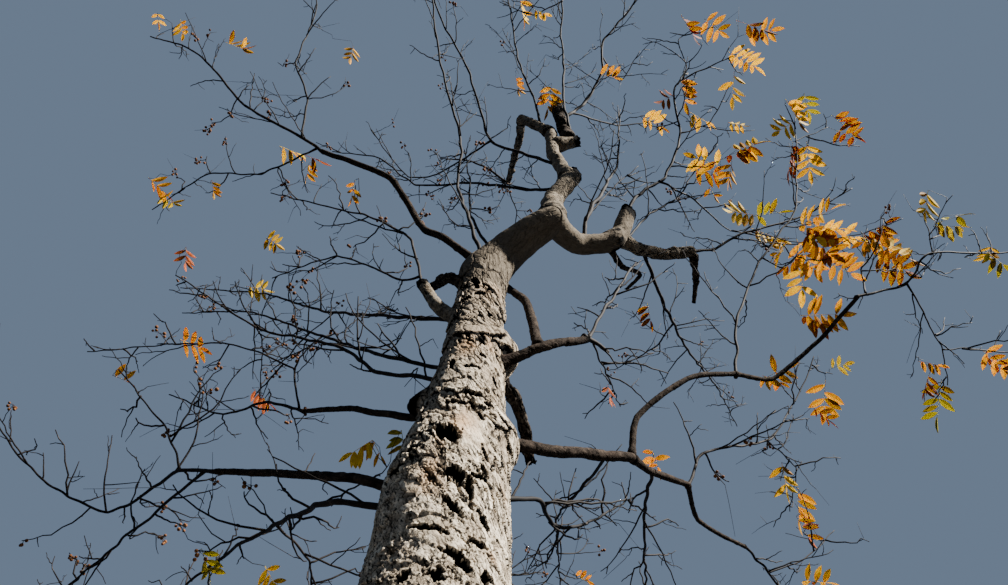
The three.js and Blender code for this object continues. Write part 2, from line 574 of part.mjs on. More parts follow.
// A spray's place: it hangs out and down from a twig's joint.
function hangingCourse(joint, along, chance, length) {
  const heading = along.clone();
  heading.x += chance.between(-HANGING.lean, HANGING.lean);
  heading.y += chance.between(-HANGING.lean, HANGING.lean);
  heading.z -= HANGING.droop + chance.between(0, HANGING.strayDroop);
  heading.normalize();
  return [joint.clone(), joint.clone().addScaledVector(heading, length)];
}

// A leaf of eight faces from a joint along a course, its root sunk into the twig.
function leafSolid([root, tip], chance) {
  const leaf = new THREE.OctahedronGeometry(1);
  leaf.scale(LEAF.width / 2, LEAF.thickness / 2, LEAF.length / 2);
  leaf.translate(0, 0, LEAF.length * (0.5 - LEAF.sunk));
  leaf.rotateZ(chance.between(0, Math.PI));
  const turn = new THREE.Quaternion().setFromUnitVectors(
    new THREE.Vector3(0, 0, 1),
    tip.clone().sub(root).normalize(),
  );
  leaf.applyQuaternion(turn);
  leaf.translate(root.x, root.y, root.z);
  return toSolid(leaf);
}

// A small round fruit held close under a joint.
function fruitSolid([root, tip]) {
  const fruit = new THREE.OctahedronGeometry(FRUIT.diameter / 2);
  const middle = root.clone().lerp(tip, 0.5 - FRUIT.sunk);
  fruit.translate(middle.x, middle.y, middle.z);
  return toSolid(fruit);
}

// The leaves and fruit that one twig still holds, each where its own space is clear.
function hangingsOf(mass, { course, chance }) {
  const solids = [];
  for (let i = 1; i < course.length; i++) {
    const along = course[i].clone().sub(course[i - 1]).normalize();
    const draw = chance.next();
    const leafy = draw < mass.leafShare;
    const fruiting = !leafy && draw < mass.leafShare + mass.fruitShare;
    if (!leafy && !fruiting) continue;
    const hanging = hangingCourse(course[i], along, chance, leafy ? LEAF.length : FRUIT.diameter);
    const radius = (leafy ? LEAF.width : FRUIT.diameter) / 2;
    if (!isClear(mass.name, hanging, radius)) continue;
    place(mass.name, hanging, () => radius);
    solids.push(leafy ? leafSolid(hanging, chance) : fruitSolid(hanging));
  }
  return solids;
}

function growMass(mass, massIndex, stems) {
  const stemSolids = stems.map((course, i) =>
    toSolid(bentCylinder(course, STEM_SIDES, taper(course, mass.stems[i].girth))));
  const twigs = stems.flatMap((stem, i) => twigsOf(mass, massIndex, stem, i));
  const twigSolids = twigs.map(({ course }) =>
    toSolid(bentCylinder(course, TWIG_SIDES, taper(course, [TWIG.girth, 0]), true)));
  const hangings = twigs.flatMap((twig) => hangingsOf(mass, twig));
  const whole = wasm.Manifold.union([...stemSolids, ...twigSolids, ...hangings]);
  return cutClear(whole);
}

function named(name, solid, finish) {
  const mesh = new THREE.Mesh(toGeometry(solid), new THREE.MeshStandardMaterial(finish));
  mesh.name = name;
  return mesh;
}

const group = new THREE.Group();

growTrunk();
BOUGHS.forEach(growBough);
for (const { name, dead, solid } of limbs) group.add(named(name, solid, dead ? DARK_BARK : BARK));

const massStems = MASSES.map(stemCourses);
massStems.forEach((stems, i) => {
  stems.forEach((course, j) => place(MASSES[i].name, course, taper(course, MASSES[i].stems[j].girth)));
});
MASSES.forEach((mass, i) => {
  const finish = mass.leafShare > LEAFY_FROM ? LEAFY_TWIG : TWIG_BARK;
  group.add(named(mass.name, growMass(mass, i, massStems[i]), finish));
});

export default group;
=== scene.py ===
"""A bare winter tree, dressed: bark in relief, crooked twigs, the last leaf sprays and small round fruit.

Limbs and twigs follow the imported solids' legs and seeded growing rule, and the twigs are carried on to finer
ones within the reach of their mass. Lengths are in millimetres until they go into a mesh.
"""
from __future__ import annotations

import json
import logging
from dataclasses import dataclass, field
from enum import Enum
from math import ceil, cos, pi, radians, sin

import bpy
import numpy as np
from bpy.types import Material, NodeSocket, NodeTree
from numpy import ndarray as Array
from numpy.random import Generator
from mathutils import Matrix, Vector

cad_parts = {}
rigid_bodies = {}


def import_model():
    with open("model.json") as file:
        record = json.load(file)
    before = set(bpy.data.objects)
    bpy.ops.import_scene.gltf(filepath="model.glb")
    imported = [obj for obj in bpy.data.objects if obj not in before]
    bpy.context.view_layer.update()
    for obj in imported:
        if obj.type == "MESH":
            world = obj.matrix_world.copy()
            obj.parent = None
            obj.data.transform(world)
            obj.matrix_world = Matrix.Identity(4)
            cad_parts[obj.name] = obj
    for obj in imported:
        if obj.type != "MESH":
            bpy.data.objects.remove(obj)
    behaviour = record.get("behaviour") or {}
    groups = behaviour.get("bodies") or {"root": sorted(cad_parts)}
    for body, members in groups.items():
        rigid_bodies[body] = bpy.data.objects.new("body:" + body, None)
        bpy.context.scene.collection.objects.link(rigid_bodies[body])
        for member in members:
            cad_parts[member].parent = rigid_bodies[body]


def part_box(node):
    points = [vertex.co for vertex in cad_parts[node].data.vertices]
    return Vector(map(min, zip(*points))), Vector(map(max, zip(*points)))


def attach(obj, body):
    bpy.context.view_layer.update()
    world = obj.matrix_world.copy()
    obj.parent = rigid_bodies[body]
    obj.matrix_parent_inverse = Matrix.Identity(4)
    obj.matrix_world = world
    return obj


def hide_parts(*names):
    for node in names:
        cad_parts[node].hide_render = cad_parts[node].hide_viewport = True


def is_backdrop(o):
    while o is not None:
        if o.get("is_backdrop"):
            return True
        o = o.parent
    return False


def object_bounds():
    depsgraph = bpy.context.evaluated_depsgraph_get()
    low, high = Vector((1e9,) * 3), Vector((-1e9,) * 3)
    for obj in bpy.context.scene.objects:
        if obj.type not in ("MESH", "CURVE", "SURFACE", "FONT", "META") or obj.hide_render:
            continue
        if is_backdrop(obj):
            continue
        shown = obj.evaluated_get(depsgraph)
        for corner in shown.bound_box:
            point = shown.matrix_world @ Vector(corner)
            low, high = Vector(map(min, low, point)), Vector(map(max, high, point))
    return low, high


log = logging.getLogger("tree")

Pair = tuple[float, float]
Legs = tuple[tuple[float, float, float], ...]
Marks = dict[str, Array]

MM = 0.001
# The mark that holds each bark point's place in its limb's straightened space, in metres.
GROWN = "grown"
UP = np.array([0.0, 0.0, 1.0])

# How far back inside its parent a limb begins when it grows from the parent's tip.
ROOT_DEPTH = 25.0
# How far a limb's drawn line leans from its smooth curve towards straight legs.
LIMB_KNEE = 0.3
# The radius inside which no finer twig comes near the trunk's middle line, and how far twigs keep off limbs.
TRUNK_CORE = 120.0
LIMB_CLEARANCE = 6.0
# The refractive index of wood, bark and leaf skin.
PLANT_IOR = 1.45


class Ending(Enum):
    """How a limb ends: it runs on into twigs, it was cut and hollowed, or it broke off."""

    LIVE = "live"
    HOLLOW = "hollow"
    BROKEN = "broken"


class Tint(Enum):
    """The autumn tints that sprays of leaves are dealt, as sRGB hex colours.

    Russet and maroon are partly the leaves' own brown and partly painted shade on sprays in shade.
    """

    GOLD = "#d9ac0c"
    AMBER = "#c28a16"
    # Russet and maroon: partly the leaves' own brown, partly painted shade for sprays that hang in shade.
    RUSSET = "#8a3f15"
    MAROON = "#5a2411"
    OLIVE = "#7e771a"
    DRY = "#94845c"


class Side(Enum):
    """The four pieces that the twigs are joined into."""

    LEFT = "left"
    RIGHT = "right"
    TOP = "top"
    FAR = "far"


@dataclass(frozen=True)
class Limb:
    """One limb: where it grows from its parent, its diameters at both ends and its legs.

    where is a share of the parent's course up to 1, or a height on the trunk. A leg is a length, a heading in
    degrees from +Y towards +X, and a rise in degrees. cut is the heading and rise that a slanting cut at its
    end faces, and rough is how knobbly it is.
    """

    name: str
    parent: str
    where: float
    girth: Pair
    legs: Legs
    ending: Ending = Ending.LIVE
    dead: bool = False
    cut: Pair | None = None
    rough: float = 0.0


@dataclass(frozen=True)
class Stem:
    """One stem of a mass of twigs, which forks at a share of the stem of the number that on gives."""

    girth: Pair
    legs: Legs
    at: float = 0.0
    on: int = 0


@dataclass(frozen=True)
class Mass:
    """One mass of twigs: its parent, its shares of leafy and fruiting joints, its side and its stems."""

    name: str
    parent: str
    where: float
    leaves: float
    fruit: float
    side: Side
    stems: tuple[Stem, ...]


# The trunk's middle line from the ground to the fork: x, y, height and diameter.
TRUNK_STATIONS = (
    (0, 0, 0, 560), (0, 0, 130, 470), (0, 0, 400, 408), (5, 0, 1000, 372), (12, 0, 2000, 350),
    (20, 0, 2900, 333), (20, 0, 3300, 322), (45, 0, 3650, 262), (55, 0, 4000, 232), (60, 0, 4400, 216),
    (72, -8, 4750, 206), (85, -25, 4930, 212), (150, -65, 5080, 190), (270, -140, 5190, 168),
    (400, -205, 5265, 150), (450, -225, 5285, 120),
)

LIMBS = (
    Limb("upper_arm", "trunk", 0.99, (124, 116), ((490, 75, 85), (590, 97, 74)), Ending.HOLLOW,
         cut=(105, -5)),
    Limb("upper_arm_top", "upper_arm", 0.88, (94, 90), ((550, 223, 79), (430, 165, 80))),
    Limb("side_stub", "upper_arm_top", 0.7, (90, 84), ((220, 95, 30),), Ending.HOLLOW, True, (110, -10)),
    Limb("crown_stub", "side_stub", 0.65, (98, 88), ((400, 200, 75), (410, 185, 80)), Ending.BROKEN, True,
         rough=0.3),
    Limb("top_arm", "upper_arm_top", 0.97, (74, 66), ((470, 255, 60),), rough=0.5),
    Limb("top_back_arm", "top_arm", 0.9, (66, 50), ((390, 355, 60), (430, 350, 50), (300, 350, 45)),
         rough=0.7),
    Limb("right_arm", "trunk", 0.99, (126, 106), ((220, 45, 25), (230, 85, 30))),
    Limb("right_stub", "right_arm", 0.95, (106, 98), ((320, 120, 60),), Ending.HOLLOW, True),
    Limb("right_arm_end", "right_stub", 0.25, (72, 66), ((140, 55, 5), (150, 65, 25), (280, 85, 25)),
         rough=0.7),
    Limb("hanging_stub", "right_arm_end", 0.97, (46, 26), ((140, 5, -25), (160, 350, -40)), Ending.BROKEN,
         True, rough=1.3),
    Limb("curled_branch", "right_arm", 0.9, (36, 18), ((160, 35, -10), (170, 55, 35), (110, 315, -15)),
         Ending.BROKEN, True, rough=0.5),
    Limb("left_bough", "trunk", 4980, (40, 30),
         ((290, 240, 30), (150, 265, 45), (480, 230, 55), (590, 260, 40))),
    Limb("left_lopped_bough", "trunk", 4400, (62, 56), ((220, 265, 45), (240, 250, 65)), Ending.HOLLOW),
    Limb("hollow_stub", "trunk", 4720, (56, 50), ((230, 260, 50), (210, 315, 50)), Ending.HOLLOW, True,
         rough=1.0),
    Limb("left_mid_bough", "trunk", 3650, (30, 20), ((330, 295, 40), (340, 295, 45), (380, 300, 40))),
    Limb("left_low_bough", "trunk", 3200, (34, 24), ((350, 285, 40), (440, 300, 40), (490, 295, 35))),
    Limb("right_broken_bough", "trunk", 3950, (46, 32), ((290, 100, 30), (280, 75, 45)), Ending.BROKEN,
         rough=0.3),
    Limb("climbing_bough", "right_broken_bough", 0.5, (42, 34),
         ((560, 315, 85), (510, 325, 75), (560, 255, 80))),
    Limb("dark_stub", "trunk", 4050, (54, 42), ((220, 45, 10), (250, 15, -20)), Ending.BROKEN, True,
         rough=1.0),
    Limb("right_low_bough", "trunk", 3550, (48, 38), ((470, 60, 30), (360, 60, 35))),
    Limb("right_climbing_bough", "right_low_bough", 0.98, (28, 23),
         ((220, 135, 70), (350, 100, 45), (330, 75, 35))),
    Limb("right_reaching_bough", "right_climbing_bough", 0.98, (23, 20),
         ((250, 70, 25), (350, 110, 35), (370, 120, 35))),
    Limb("right_falling_bough", "right_low_bough", 0.98, (32, 26), ((160, 40, 30), (290, 50, 30))),
    Limb("right_far_bough", "right_falling_bough", 0.98, (22, 19), ((380, 20, 30), (470, 45, 25))),
    Limb("far_bough", "trunk", 3900, (52, 34), ((720, 358, 32), (690, 2, 28))),
    Limb("far_high_bough", "trunk", 4400, (50, 30), ((1000, 2, 32), (1030, 358, 28))),
)

MASSES = (
    Mass("left_top_twigs", "left_bough", 1, 0.12, 0.16, Side.LEFT, (
        Stem((26, 12), ((210, 245, 35), (530, 250, 35), (670, 235, 40), (580, 260, 40))),
        Stem((20, 10), ((450, 195, 65), (410, 215, 55), (710, 175, 60), (520, 190, 20)), 0.1),
        Stem((17, 9), ((500, 295, 25), (410, 275, 25), (560, 300, 15)), 0.03))),
    Mass("left_lopped_twigs", "left_lopped_bough", 1, 0.06, 0.14, Side.LEFT, (
        Stem((20, 9), ((400, 220, 70), (430, 265, 55), (900, 270, 40))),
        Stem((16, 9), ((150, 300, 45), (640, 275, 50), (760, 300, 40)), 0.05))),
    Mass("left_middle_twigs", "trunk", 4450, 0.1, 0.14, Side.LEFT, (
        Stem((28, 9), ((550, 290, 45), (840, 295, 50), (970, 285, 50), (1100, 285, 40))),)),
    Mass("left_lower_twigs", "trunk", 3850, 0.1, 0.14, Side.LEFT, (
        Stem((26, 9), ((290, 285, 45), (280, 290, 45), (300, 275, 55), (770, 285, 45), (780, 260, 40))),)),
    Mass("left_behind_twigs", "trunk", 3960, 0.1, 0.14, Side.LEFT, (
        Stem((25, 9), ((550, 285, 45), (620, 295, 55), (1010, 285, 50), (870, 290, 40))),
        Stem((13, 8), ((420, 355, 40), (840, 340, 35)), 0.72))),
    Mass("left_mid_twigs", "left_mid_bough", 1, 0.08, 0.14, Side.LEFT, (
        Stem((20, 9), ((370, 290, 45), (440, 305, 35), (550, 280, 40))),
        Stem((13, 8), ((260, 225, 65), (570, 275, 40), (1050, 285, 25)), 0.04))),
    Mass("left_low_twigs", "left_low_bough", 1, 0.06, 0.12, Side.LEFT, (
        Stem((22, 9), ((300, 295, 35), (710, 310, 25), (450, 270, 30), (450, 250, 35), (560, 205, 30))),
        Stem((18, 10), ((790, 315, 20), (990, 315, 20), (670, 315, 20)), 0.04),
        Stem((13, 8), ((240, 240, 55), (520, 255, 45)), 0.12))),
    Mass("left_far_twigs", "trunk", 3150, 0.1, 0.12, Side.LEFT, (
        Stem((28, 10), ((380, 285, 30), (500, 320, 40), (660, 320, 35), (870, 320, 25), (560, 335, 35))),
        Stem((13, 8), ((330, 10, 30), (1330, 345, 35), (420, 335, 35)), 0.33))),
    Mass("climbing_twigs", "climbing_bough", 1, 0.08, 0.1, Side.TOP, (
        Stem((28, 10), ((480, 235, 70), (560, 195, 80), (520, 205, 75))),)),
    Mass("right_broken_twigs", "right_broken_bough", 1, 0.12, 0, Side.RIGHT, (
        Stem((28, 20), ((150, 50, 20),)),
        Stem((20, 14), ((340, 100, 70), (620, 90, 70)), 0.2),
        Stem((11, 7), ((300, 20, 40), (590, 20, 45)), 0.4))),
    Mass("right_tip_twigs", "right_reaching_bough", 1, 0.65, 0.03, Side.RIGHT, (
        Stem((19, 9), ((400, 90, 30), (270, 120, 40), (600, 85, 20), (340, 110, 20))),
        Stem((14, 8), ((640, 40, 20), (410, 30, 25)), 0.25),
        Stem((14, 8), ((250, 130, 70), (270, 105, 50), (160, 210, 65)), 0.05),
        Stem((10, 7), ((290, 165, 55),), 0.44),
        Stem((10, 7), ((210, 85, 15), (230, 80, 10)), 0.63, 1))),
    Mass("right_rising_twigs", "right_climbing_bough", 1, 0.6, 0.03, Side.RIGHT, (
        Stem((20, 9), ((400, 145, 65), (530, 120, 60), (560, 120, 50), (930, 150, 60))),
        Stem((11, 7), ((140, 60, 15), (230, 105, 40)), 0.4),
        Stem((9, 7), ((390, 100, 40),), 0.89))),
    Mass("right_branching_twigs", "right_falling_bough", 1, 0.45, 0.03, Side.RIGHT, (
        Stem((19, 9), ((310, 85, 65), (620, 70, 40), (480, 100, 55), (320, 120, 55))),
        Stem((11, 7), ((590, 40, 35), (590, 15, 30)), 0.5))),
    Mass("right_far_twigs", "right_far_bough", 1, 0.3, 0.03, Side.RIGHT, (
        Stem((18, 9), ((520, 35, 20), (690, 25, 25), (430, 40, 30))),
        Stem((11, 7), ((270, 85, 30), (370, 85, 45)), 0.2))),
    Mass("far_right_twigs", "right_falling_bough", 0.4, 0.15, 0.05, Side.FAR, (
        Stem((22, 10), ((470, 5, 35), (900, 10, 30), (860, 10, 25))),)),
    Mass("far_middle_twigs", "right_low_bough", 0.8, 0.12, 0.06, Side.FAR, (
        Stem((17, 9), ((610, 350, 40), (460, 355, 45), (1070, 5, 35), (890, 5, 25))),)),
    Mass("right_foot_twigs", "trunk", 3200, 0.15, 0, Side.RIGHT, (
        Stem((26, 9), ((470, 50, 45), (250, 15, 35), (250, 40, 45), (750, 45, 55))),)),
    Mass("right_back_twigs", "right_arm_end", 0.35, 0.2, 0.04, Side.FAR, (
        Stem((29, 10), ((510, 25, 25), (780, 30, 40), (780, 35, 40), (910, 30, 35))),
        Stem((16, 9), ((300, 350, 40), (590, 340, 50)), 0.25))),
    Mass("right_stub_twigs", "right_stub", 1, 0.5, 0.04, Side.RIGHT, (
        Stem((30, 10), ((190, 135, 60), (340, 105, 50), (420, 140, 55), (490, 175, 55), (660, 110, 35))),
        Stem((18, 9), ((340, 60, 30), (400, 50, 20), (210, 75, 30)), 0.22),
        Stem((13, 8), ((210, 140, 50), (250, 190, 50), (220, 120, 45)), 0.7),
        Stem((12, 8), ((260, 100, 35), (370, 140, 40)), 0.47))),
    Mass("right_end_twigs", "right_arm_end", 1, 0.75, 0.03, Side.RIGHT, (
        Stem((24, 9), ((190, 85, 35), (240, 100, 45), (570, 95, 30), (530, 105, 35))),
        Stem((12, 7), ((420, 80, 15), (430, 95, 10), (330, 105, 15)), 0.25))),
    Mass("right_shoot_twigs", "right_arm_end", 0.12, 0.45, 0.03, Side.RIGHT, (
        Stem((21, 9), ((430, 105, 60), (380, 95, 55), (310, 125, 55), (350, 125, 45))),)),
    Mass("shoulder_twigs", "right_arm", 0.6, 0.25, 0.05, Side.TOP, (
        Stem((36, 9), ((160, 170, 55), (360, 125, 65), (380, 115, 70), (680, 160, 65))),
        Stem((13, 8), ((330, 115, 60), (360, 110, 55)), 0.15))),
    Mass("front_left_twigs", "trunk", 0.9, 0.15, 0.1, Side.TOP, (
        Stem((30, 10), ((550, 215, 70), (390, 225, 75), (480, 180, 65), (620, 200, 45), (790, 190, 35),
                        (620, 195, 10))),
        Stem((13, 8), ((420, 165, 0), (430, 185, -25)), 0.8))),
    Mass("top_left_twigs", "upper_arm_top", 0.3, 0.12, 0.12, Side.TOP, (
        Stem((32, 10), ((430, 265, 55), (320, 260, 50), (580, 200, 40), (630, 210, 35), (570, 190, 25),
                        (480, 200, 5))),
        Stem((20, 10), ((550, 305, 25), (370, 285, 45), (550, 225, 35)), 0.25))),
    Mass("upper_left_twigs", "upper_arm", 0.75, 0.1, 0.14, Side.TOP, (
        Stem((30, 10), ((340, 295, 55), (510, 275, 45), (570, 280, 35), (440, 245, 45), (510, 270, 35))),)),
    Mass("top_back_twigs", "top_back_arm", 1, 0.12, 0.12, Side.TOP, (
        Stem((34, 12), ((450, 245, 35), (350, 270, 25))),
        Stem((18, 9), ((420, 20, 30), (460, 350, 20)), 0.1))),
    Mass("top_front_twigs", "side_stub", 0.8, 0.3, 0.06, Side.TOP, (
        Stem((30, 10), ((510, 190, 65), (470, 175, 60), (470, 180, 55), (840, 175, 35), (560, 180, 10))),
        Stem((15, 9), ((300, 295, 30), (370, 250, 35)), 0.6),
        Stem((13, 8), ((480, 165, -5), (420, 180, -30)), 0.72))),
    Mass("top_right_twigs", "crown_stub", 0.5, 0.35, 0.04, Side.TOP, (
        Stem((36, 10), ((430, 115, 55), (390, 145, 50), (310, 175, 50), (580, 135, 40), (550, 165, 20),
                        (520, 170, 0))),
        Stem((22, 10), ((540, 70, 40), (500, 90, 35)), 0.06),
        Stem((16, 9), ((260, 40, 10), (380, 140, 40)), 0.35))),
    Mass("top_middle_twigs", "top_arm", 0.3, 0.25, 0.08, Side.TOP, (
        Stem((29, 10), ((530, 195, 70), (440, 205, 55), (410, 190, 45), (640, 190, 35), (480, 205, 10))),)),
    Mass("far_twigs", "far_bough", 1, 0.15, 0.08, Side.FAR, (
        Stem((30, 10), ((560, 340, 25), (620, 328, 30), (450, 340, 35))),
        Stem((24, 10), ((560, 28, 22), (620, 40, 32)), 0.05))),
    Mass("far_high_twigs", "far_high_bough", 1, 0.15, 0.08, Side.FAR, (
        Stem((28, 10), ((420, 352, 18), (520, 338, 40), (520, 345, 50))),
        Stem((22, 9), ((480, 25, 35), (560, 40, 45)), 0.2))),
)

# Sprays seen in the picture: middle x and y and length in its pixels, the way the stalk runs there in degrees
# clockwise from the right, and tint.
PICTURED_SPRAYS = {
    Tint.GOLD: (
        (706, 161, 32, 200), (748, 146, 26, -20), (793, 112, 30, 60), (808, 158, 34, 85), (785, 127, 20, 150),
        (743, 213, 30, 190), (767, 234, 36, 20), (783, 248, 24, 120), (815, 217, 44, -30), (822, 228, 44, 0),
        (838, 234, 44, 10), (802, 276, 36, 95), (894, 251, 42, 25), (926, 202, 24, 100), (988, 252, 16, 120),
        (742, 60, 36, 30), (733, 86, 30, 95), (700, 118, 22, 30), (736, 124, 16, 10), (522, 10, 26, 80),
        (540, 12, 14, 20), (652, 122, 26, 30), (158, 18, 10, 80), (182, 28, 16, 80), (236, 46, 22, 20),
        (290, 150, 22, 20), (168, 200, 20, 20), (257, 288, 22, 10), (272, 241, 14, 30), (361, 447, 26, 150),
        (270, 575, 20, 60), (784, 476, 28, 80), (816, 581, 26, 0),
    ),
    Tint.RUSSET: (
        (706, 171, 28, 10), (741, 150, 34, -25), (790, 158, 34, 100), (842, 124, 28, 40), (846, 134, 22, 20),
        (818, 243, 44, 35), (793, 262, 26, 150), (873, 229, 34, -30), (892, 263, 38, 30), (814, 320, 28, 20),
        (926, 383, 20, 110), (996, 364, 26, 40), (820, 413, 24, 40), (752, 26, 34, 20), (688, 27, 28, 60),
        (668, 98, 18, 160), (313, 158, 24, 20), (186, 256, 18, 90), (262, 396, 26, 40), (803, 528, 26, 60),
        (649, 313, 20, 80), (609, 392, 14, 80),
    ),
    Tint.AMBER: (
        (730, 172, 22, 100), (712, 192, 12, 60), (806, 256, 40, 60), (836, 266, 42, 25), (872, 238, 30, 160),
        (882, 243, 24, 60), (822, 314, 44, -5), (929, 363, 22, 10), (995, 358, 32, 30), (776, 372, 28, -30),
        (772, 379, 20, 20), (824, 396, 34, 95), (760, 32, 30, -10), (713, 26, 22, 40), (683, 92, 30, 80),
        (517, 84, 16, 80), (549, 98, 30, 100), (607, 76, 20, 10), (352, 53, 14, 100), (308, 170, 14, 100),
        (158, 186, 26, 40), (213, 187, 14, 80), (353, 190, 20, 100), (377, 448, 18, 60), (192, 344, 26, 20),
        (120, 378, 16, 20), (798, 505, 34, 90), (655, 459, 20, 70), (581, 578, 18, 20),
    ),
    Tint.OLIVE: (
        (806, 104, 22, 80), (768, 214, 30, -10), (948, 219, 30, -20), (995, 258, 26, 40), (938, 400, 42, 100),
        (403, 440, 20, 80), (206, 561, 26, 70),
    ),
    Tint.DRY: (
        (947, 226, 28, 0), (838, 366, 18, -20),
    ),
}

# The growing rule for twigs along a stem, as the solids have it.
FIRST_SHARE, LAST_SHARE = 0.16, 0.98
STRAY_SHARE = (0.2, 0.8)
TWIG_SPACING, TWIG_LONGEST, TWIG_SHORTEST = 480.0, 470.0, 190.0
STRAY_LENGTH = (0.7, 1.1)
TWIG_GIRTH, TWIG_LEAVE, STRAY_LEAVE = 8.5, 52.0, 12.0
TWIG_TURN, STRAY_TURN, TWIG_ZIGZAG, TWIG_UPLIFT, TWIG_JOINTS = 137.5, 25.0, 17.0, 0.22, 1
LEAF_LENGTH, LEAF_WIDTH, FRUIT_DIAMETER = 150.0, 52.0, 27.0
HANG_LEAN, HANG_DROOP, STRAY_DROOP = 0.6, 0.75, 0.7
TWIG_CLEARANCE, DIRECTION_REACH = 9.0, 0.02


def linked(name: str, data: bpy.types.ID) -> bpy.types.Object:
    """A new object that holds the data, put into the scene."""
    thing = bpy.data.objects.new(name, data)
    bpy.context.scene.collection.objects.link(thing)
    return thing


def unit(vectors: Array) -> Array:
    """Vectors brought to length one along their last axis."""
    return vectors / np.maximum(np.linalg.norm(vectors, axis=-1, keepdims=True), 1e-9)


def direction(heading: float, rise: float) -> Array:
    """The unit direction of a compass heading and a rise, both in degrees."""
    turn, lift = radians(heading), radians(rise)
    return np.array([sin(turn) * cos(lift), cos(turn) * cos(lift), sin(lift)])


def walk(start: Array, legs: Legs) -> Array:
    """The joints of a course that starts at a point and follows its legs."""
    steps = [length * direction(heading, rise) for length, heading, rise in legs]
    return start + np.vstack([np.zeros(3), np.cumsum(steps, axis=0)])


def read_off(places: Array, known: Array, points: Array) -> Array:
    """Points read off a line of straight legs at places, given the place of each known point."""
    return np.stack([np.interp(places, known, points[:, k]) for k in range(3)], axis=-1)


def curve(joints: Array, places: Array) -> Array:
    """Points of the smooth curve through the joints, a spline.

    Each leg is a cubic whose slopes come from the joints on both sides, weighted by the square roots of the
    distances between them.

    Args:
        joints: The points that it passes through.
        places: Where to read it, counted in joints, so that 2.5 lies halfway along the third leg.

    Returns:
        One point for each place.
    """
    ends = np.vstack([2 * joints[0] - joints[1], joints, 2 * joints[-1] - joints[-2]])
    leg = np.minimum(np.asarray(places).astype(int), len(joints) - 2)
    w = (places - leg)[:, None]
    p0, p1, p2, p3 = (ends[leg + k] for k in range(4))
    d0, d1, d2 = (np.sqrt(np.linalg.norm(b - a, axis=1))[:, None] for a, b in ((p0, p1), (p1, p2), (p2, p3)))
    t1 = ((p1 - p0) / d0 - (p2 - p0) / (d0 + d1) + (p2 - p1) / d1) * d1
    t2 = ((p2 - p1) / d1 - (p3 - p1) / (d1 + d2) + (p3 - p2) / d2) * d1
    return p1 + t1 * w + (-3 * p1 + 3 * p2 - 2 * t1 - t2) * w**2 + (2 * p1 - 2 * p2 + t1 + t2) * w**3


@dataclass
class Course:
    """A middle line: its joints, and the line with a few steps a leg that its solid follows.

    knee is how far the drawn line leans from the smooth curve towards straight legs.
    """

    joints: Array
    steps: int = 1
    knee: float = 0.0
    places: Array = field(init=False)
    coarse: Array = field(init=False)
    reach: Array = field(init=False)

    def __post_init__(self) -> None:
        """Works out the solid's points, the place of each, and the length run at each."""
        legs = len(self.joints) - 1
        self.places = np.linspace(0, legs, (legs * self.steps if legs > 1 else 1) + 1)
        self.coarse = curve(self.joints, self.places)
        self.reach = np.concatenate([[0], np.cumsum(np.linalg.norm(np.diff(self.coarse, axis=0), axis=1))])

    def solid_point(self, share: float) -> Array:
        """The point at a share of the solid's length."""
        return read_off(share * self.reach[-1], self.reach, self.coarse)

    def solid_direction(self, share: float) -> Array:
        """The direction at a share of the solid's length, taken a small share to each side."""
        before = self.solid_point(max(share - DIRECTION_REACH, 0))
        return unit(self.solid_point(min(share + DIRECTION_REACH, 1)) - before)

    def share_at(self, where: float) -> float:
        """A share of the length: where itself up to 1, else the share at which the course is so high."""
        high = np.interp(where, self.coarse[:, 2], self.reach) / self.reach[-1]
        return where if where <= 1 else float(high)

    def drawn(self, places: Array) -> Array:
        """Points of the drawn line: the smooth curve, mixed with the straight legs by the knee."""
        straight = read_off(places, np.arange(len(self.joints)), self.joints)
        return curve(self.joints, places) * (1 - self.knee) + straight * self.knee

    def point(self, share: float) -> Array:
        """The point on the drawn line at a share of the solid's length."""
        return self.drawn(np.interp([share * self.reach[-1]], self.reach, self.places))[0]

    def even(self, spacing: float) -> tuple[Array, Array, Array]:
        """Points spaced evenly along the drawn line.

        Args:
            spacing: The distance between points, at most.

        Returns:
            The points, the length run at each, and the place of each counted in joints.
        """
        places = np.linspace(0, len(self.joints) - 1, 60 * (len(self.joints) - 1) + 1)
        dense = self.drawn(places)
        run = np.concatenate([[0], np.cumsum(np.linalg.norm(np.diff(dense, axis=0), axis=1))])
        wanted = np.linspace(0, run[-1], max(ceil(run[-1] / spacing), 3) + 1)
        return read_off(wanted, run, dense), wanted, np.interp(wanted, run, places)


def frames(courses: Array) -> tuple[Array, Array, Array]:
    """A frame at each point of each course, turned as little as possible from one point to the next.

    Args:
        courses: Many courses of the same number of points, as (course, point, xyz).

    Returns:
        Tangents, sides and the directions across both, each in the same layout.
    """
    legs = unit(np.diff(courses, axis=1))
    tangents = unit(np.concatenate([legs[:, :1], legs[:, :-1] + legs[:, 1:], legs[:, -1:]], axis=1))
    sides = np.empty_like(tangents)
    side = np.tile(np.array([1.0, 0, 0]), (len(courses), 1))
    for i in range(courses.shape[1]):
        tangent = tangents[:, i]
        side = side - tangent * np.sum(side * tangent, axis=1, keepdims=True)
        lost = np.sum(side * side, axis=1) < 0.01
        side[lost] = np.array([0, 1.0, 0]) - tangent[lost] * tangent[lost, 1:2]
        side = unit(side)
        sides[:, i] = side
    return tangents, sides, np.cross(tangents, sides)


def spread(columns: int, *values: Array) -> list[Array]:
    """Numbers that each ring has one of, repeated over its columns."""
    return [np.repeat(each[:, None], columns, axis=1) for each in values]


def ways_out(points: Array, columns: int) -> tuple[Array, Array]:
    """The angles round a line, and the way out from each of its points at each of them."""
    angle = np.arange(columns) * 2 * pi / columns
    _, side, across = (each[0][:, None] for each in frames(points[None]))
    return angle, side * np.cos(angle)[:, None] + across * np.sin(angle)[:, None]


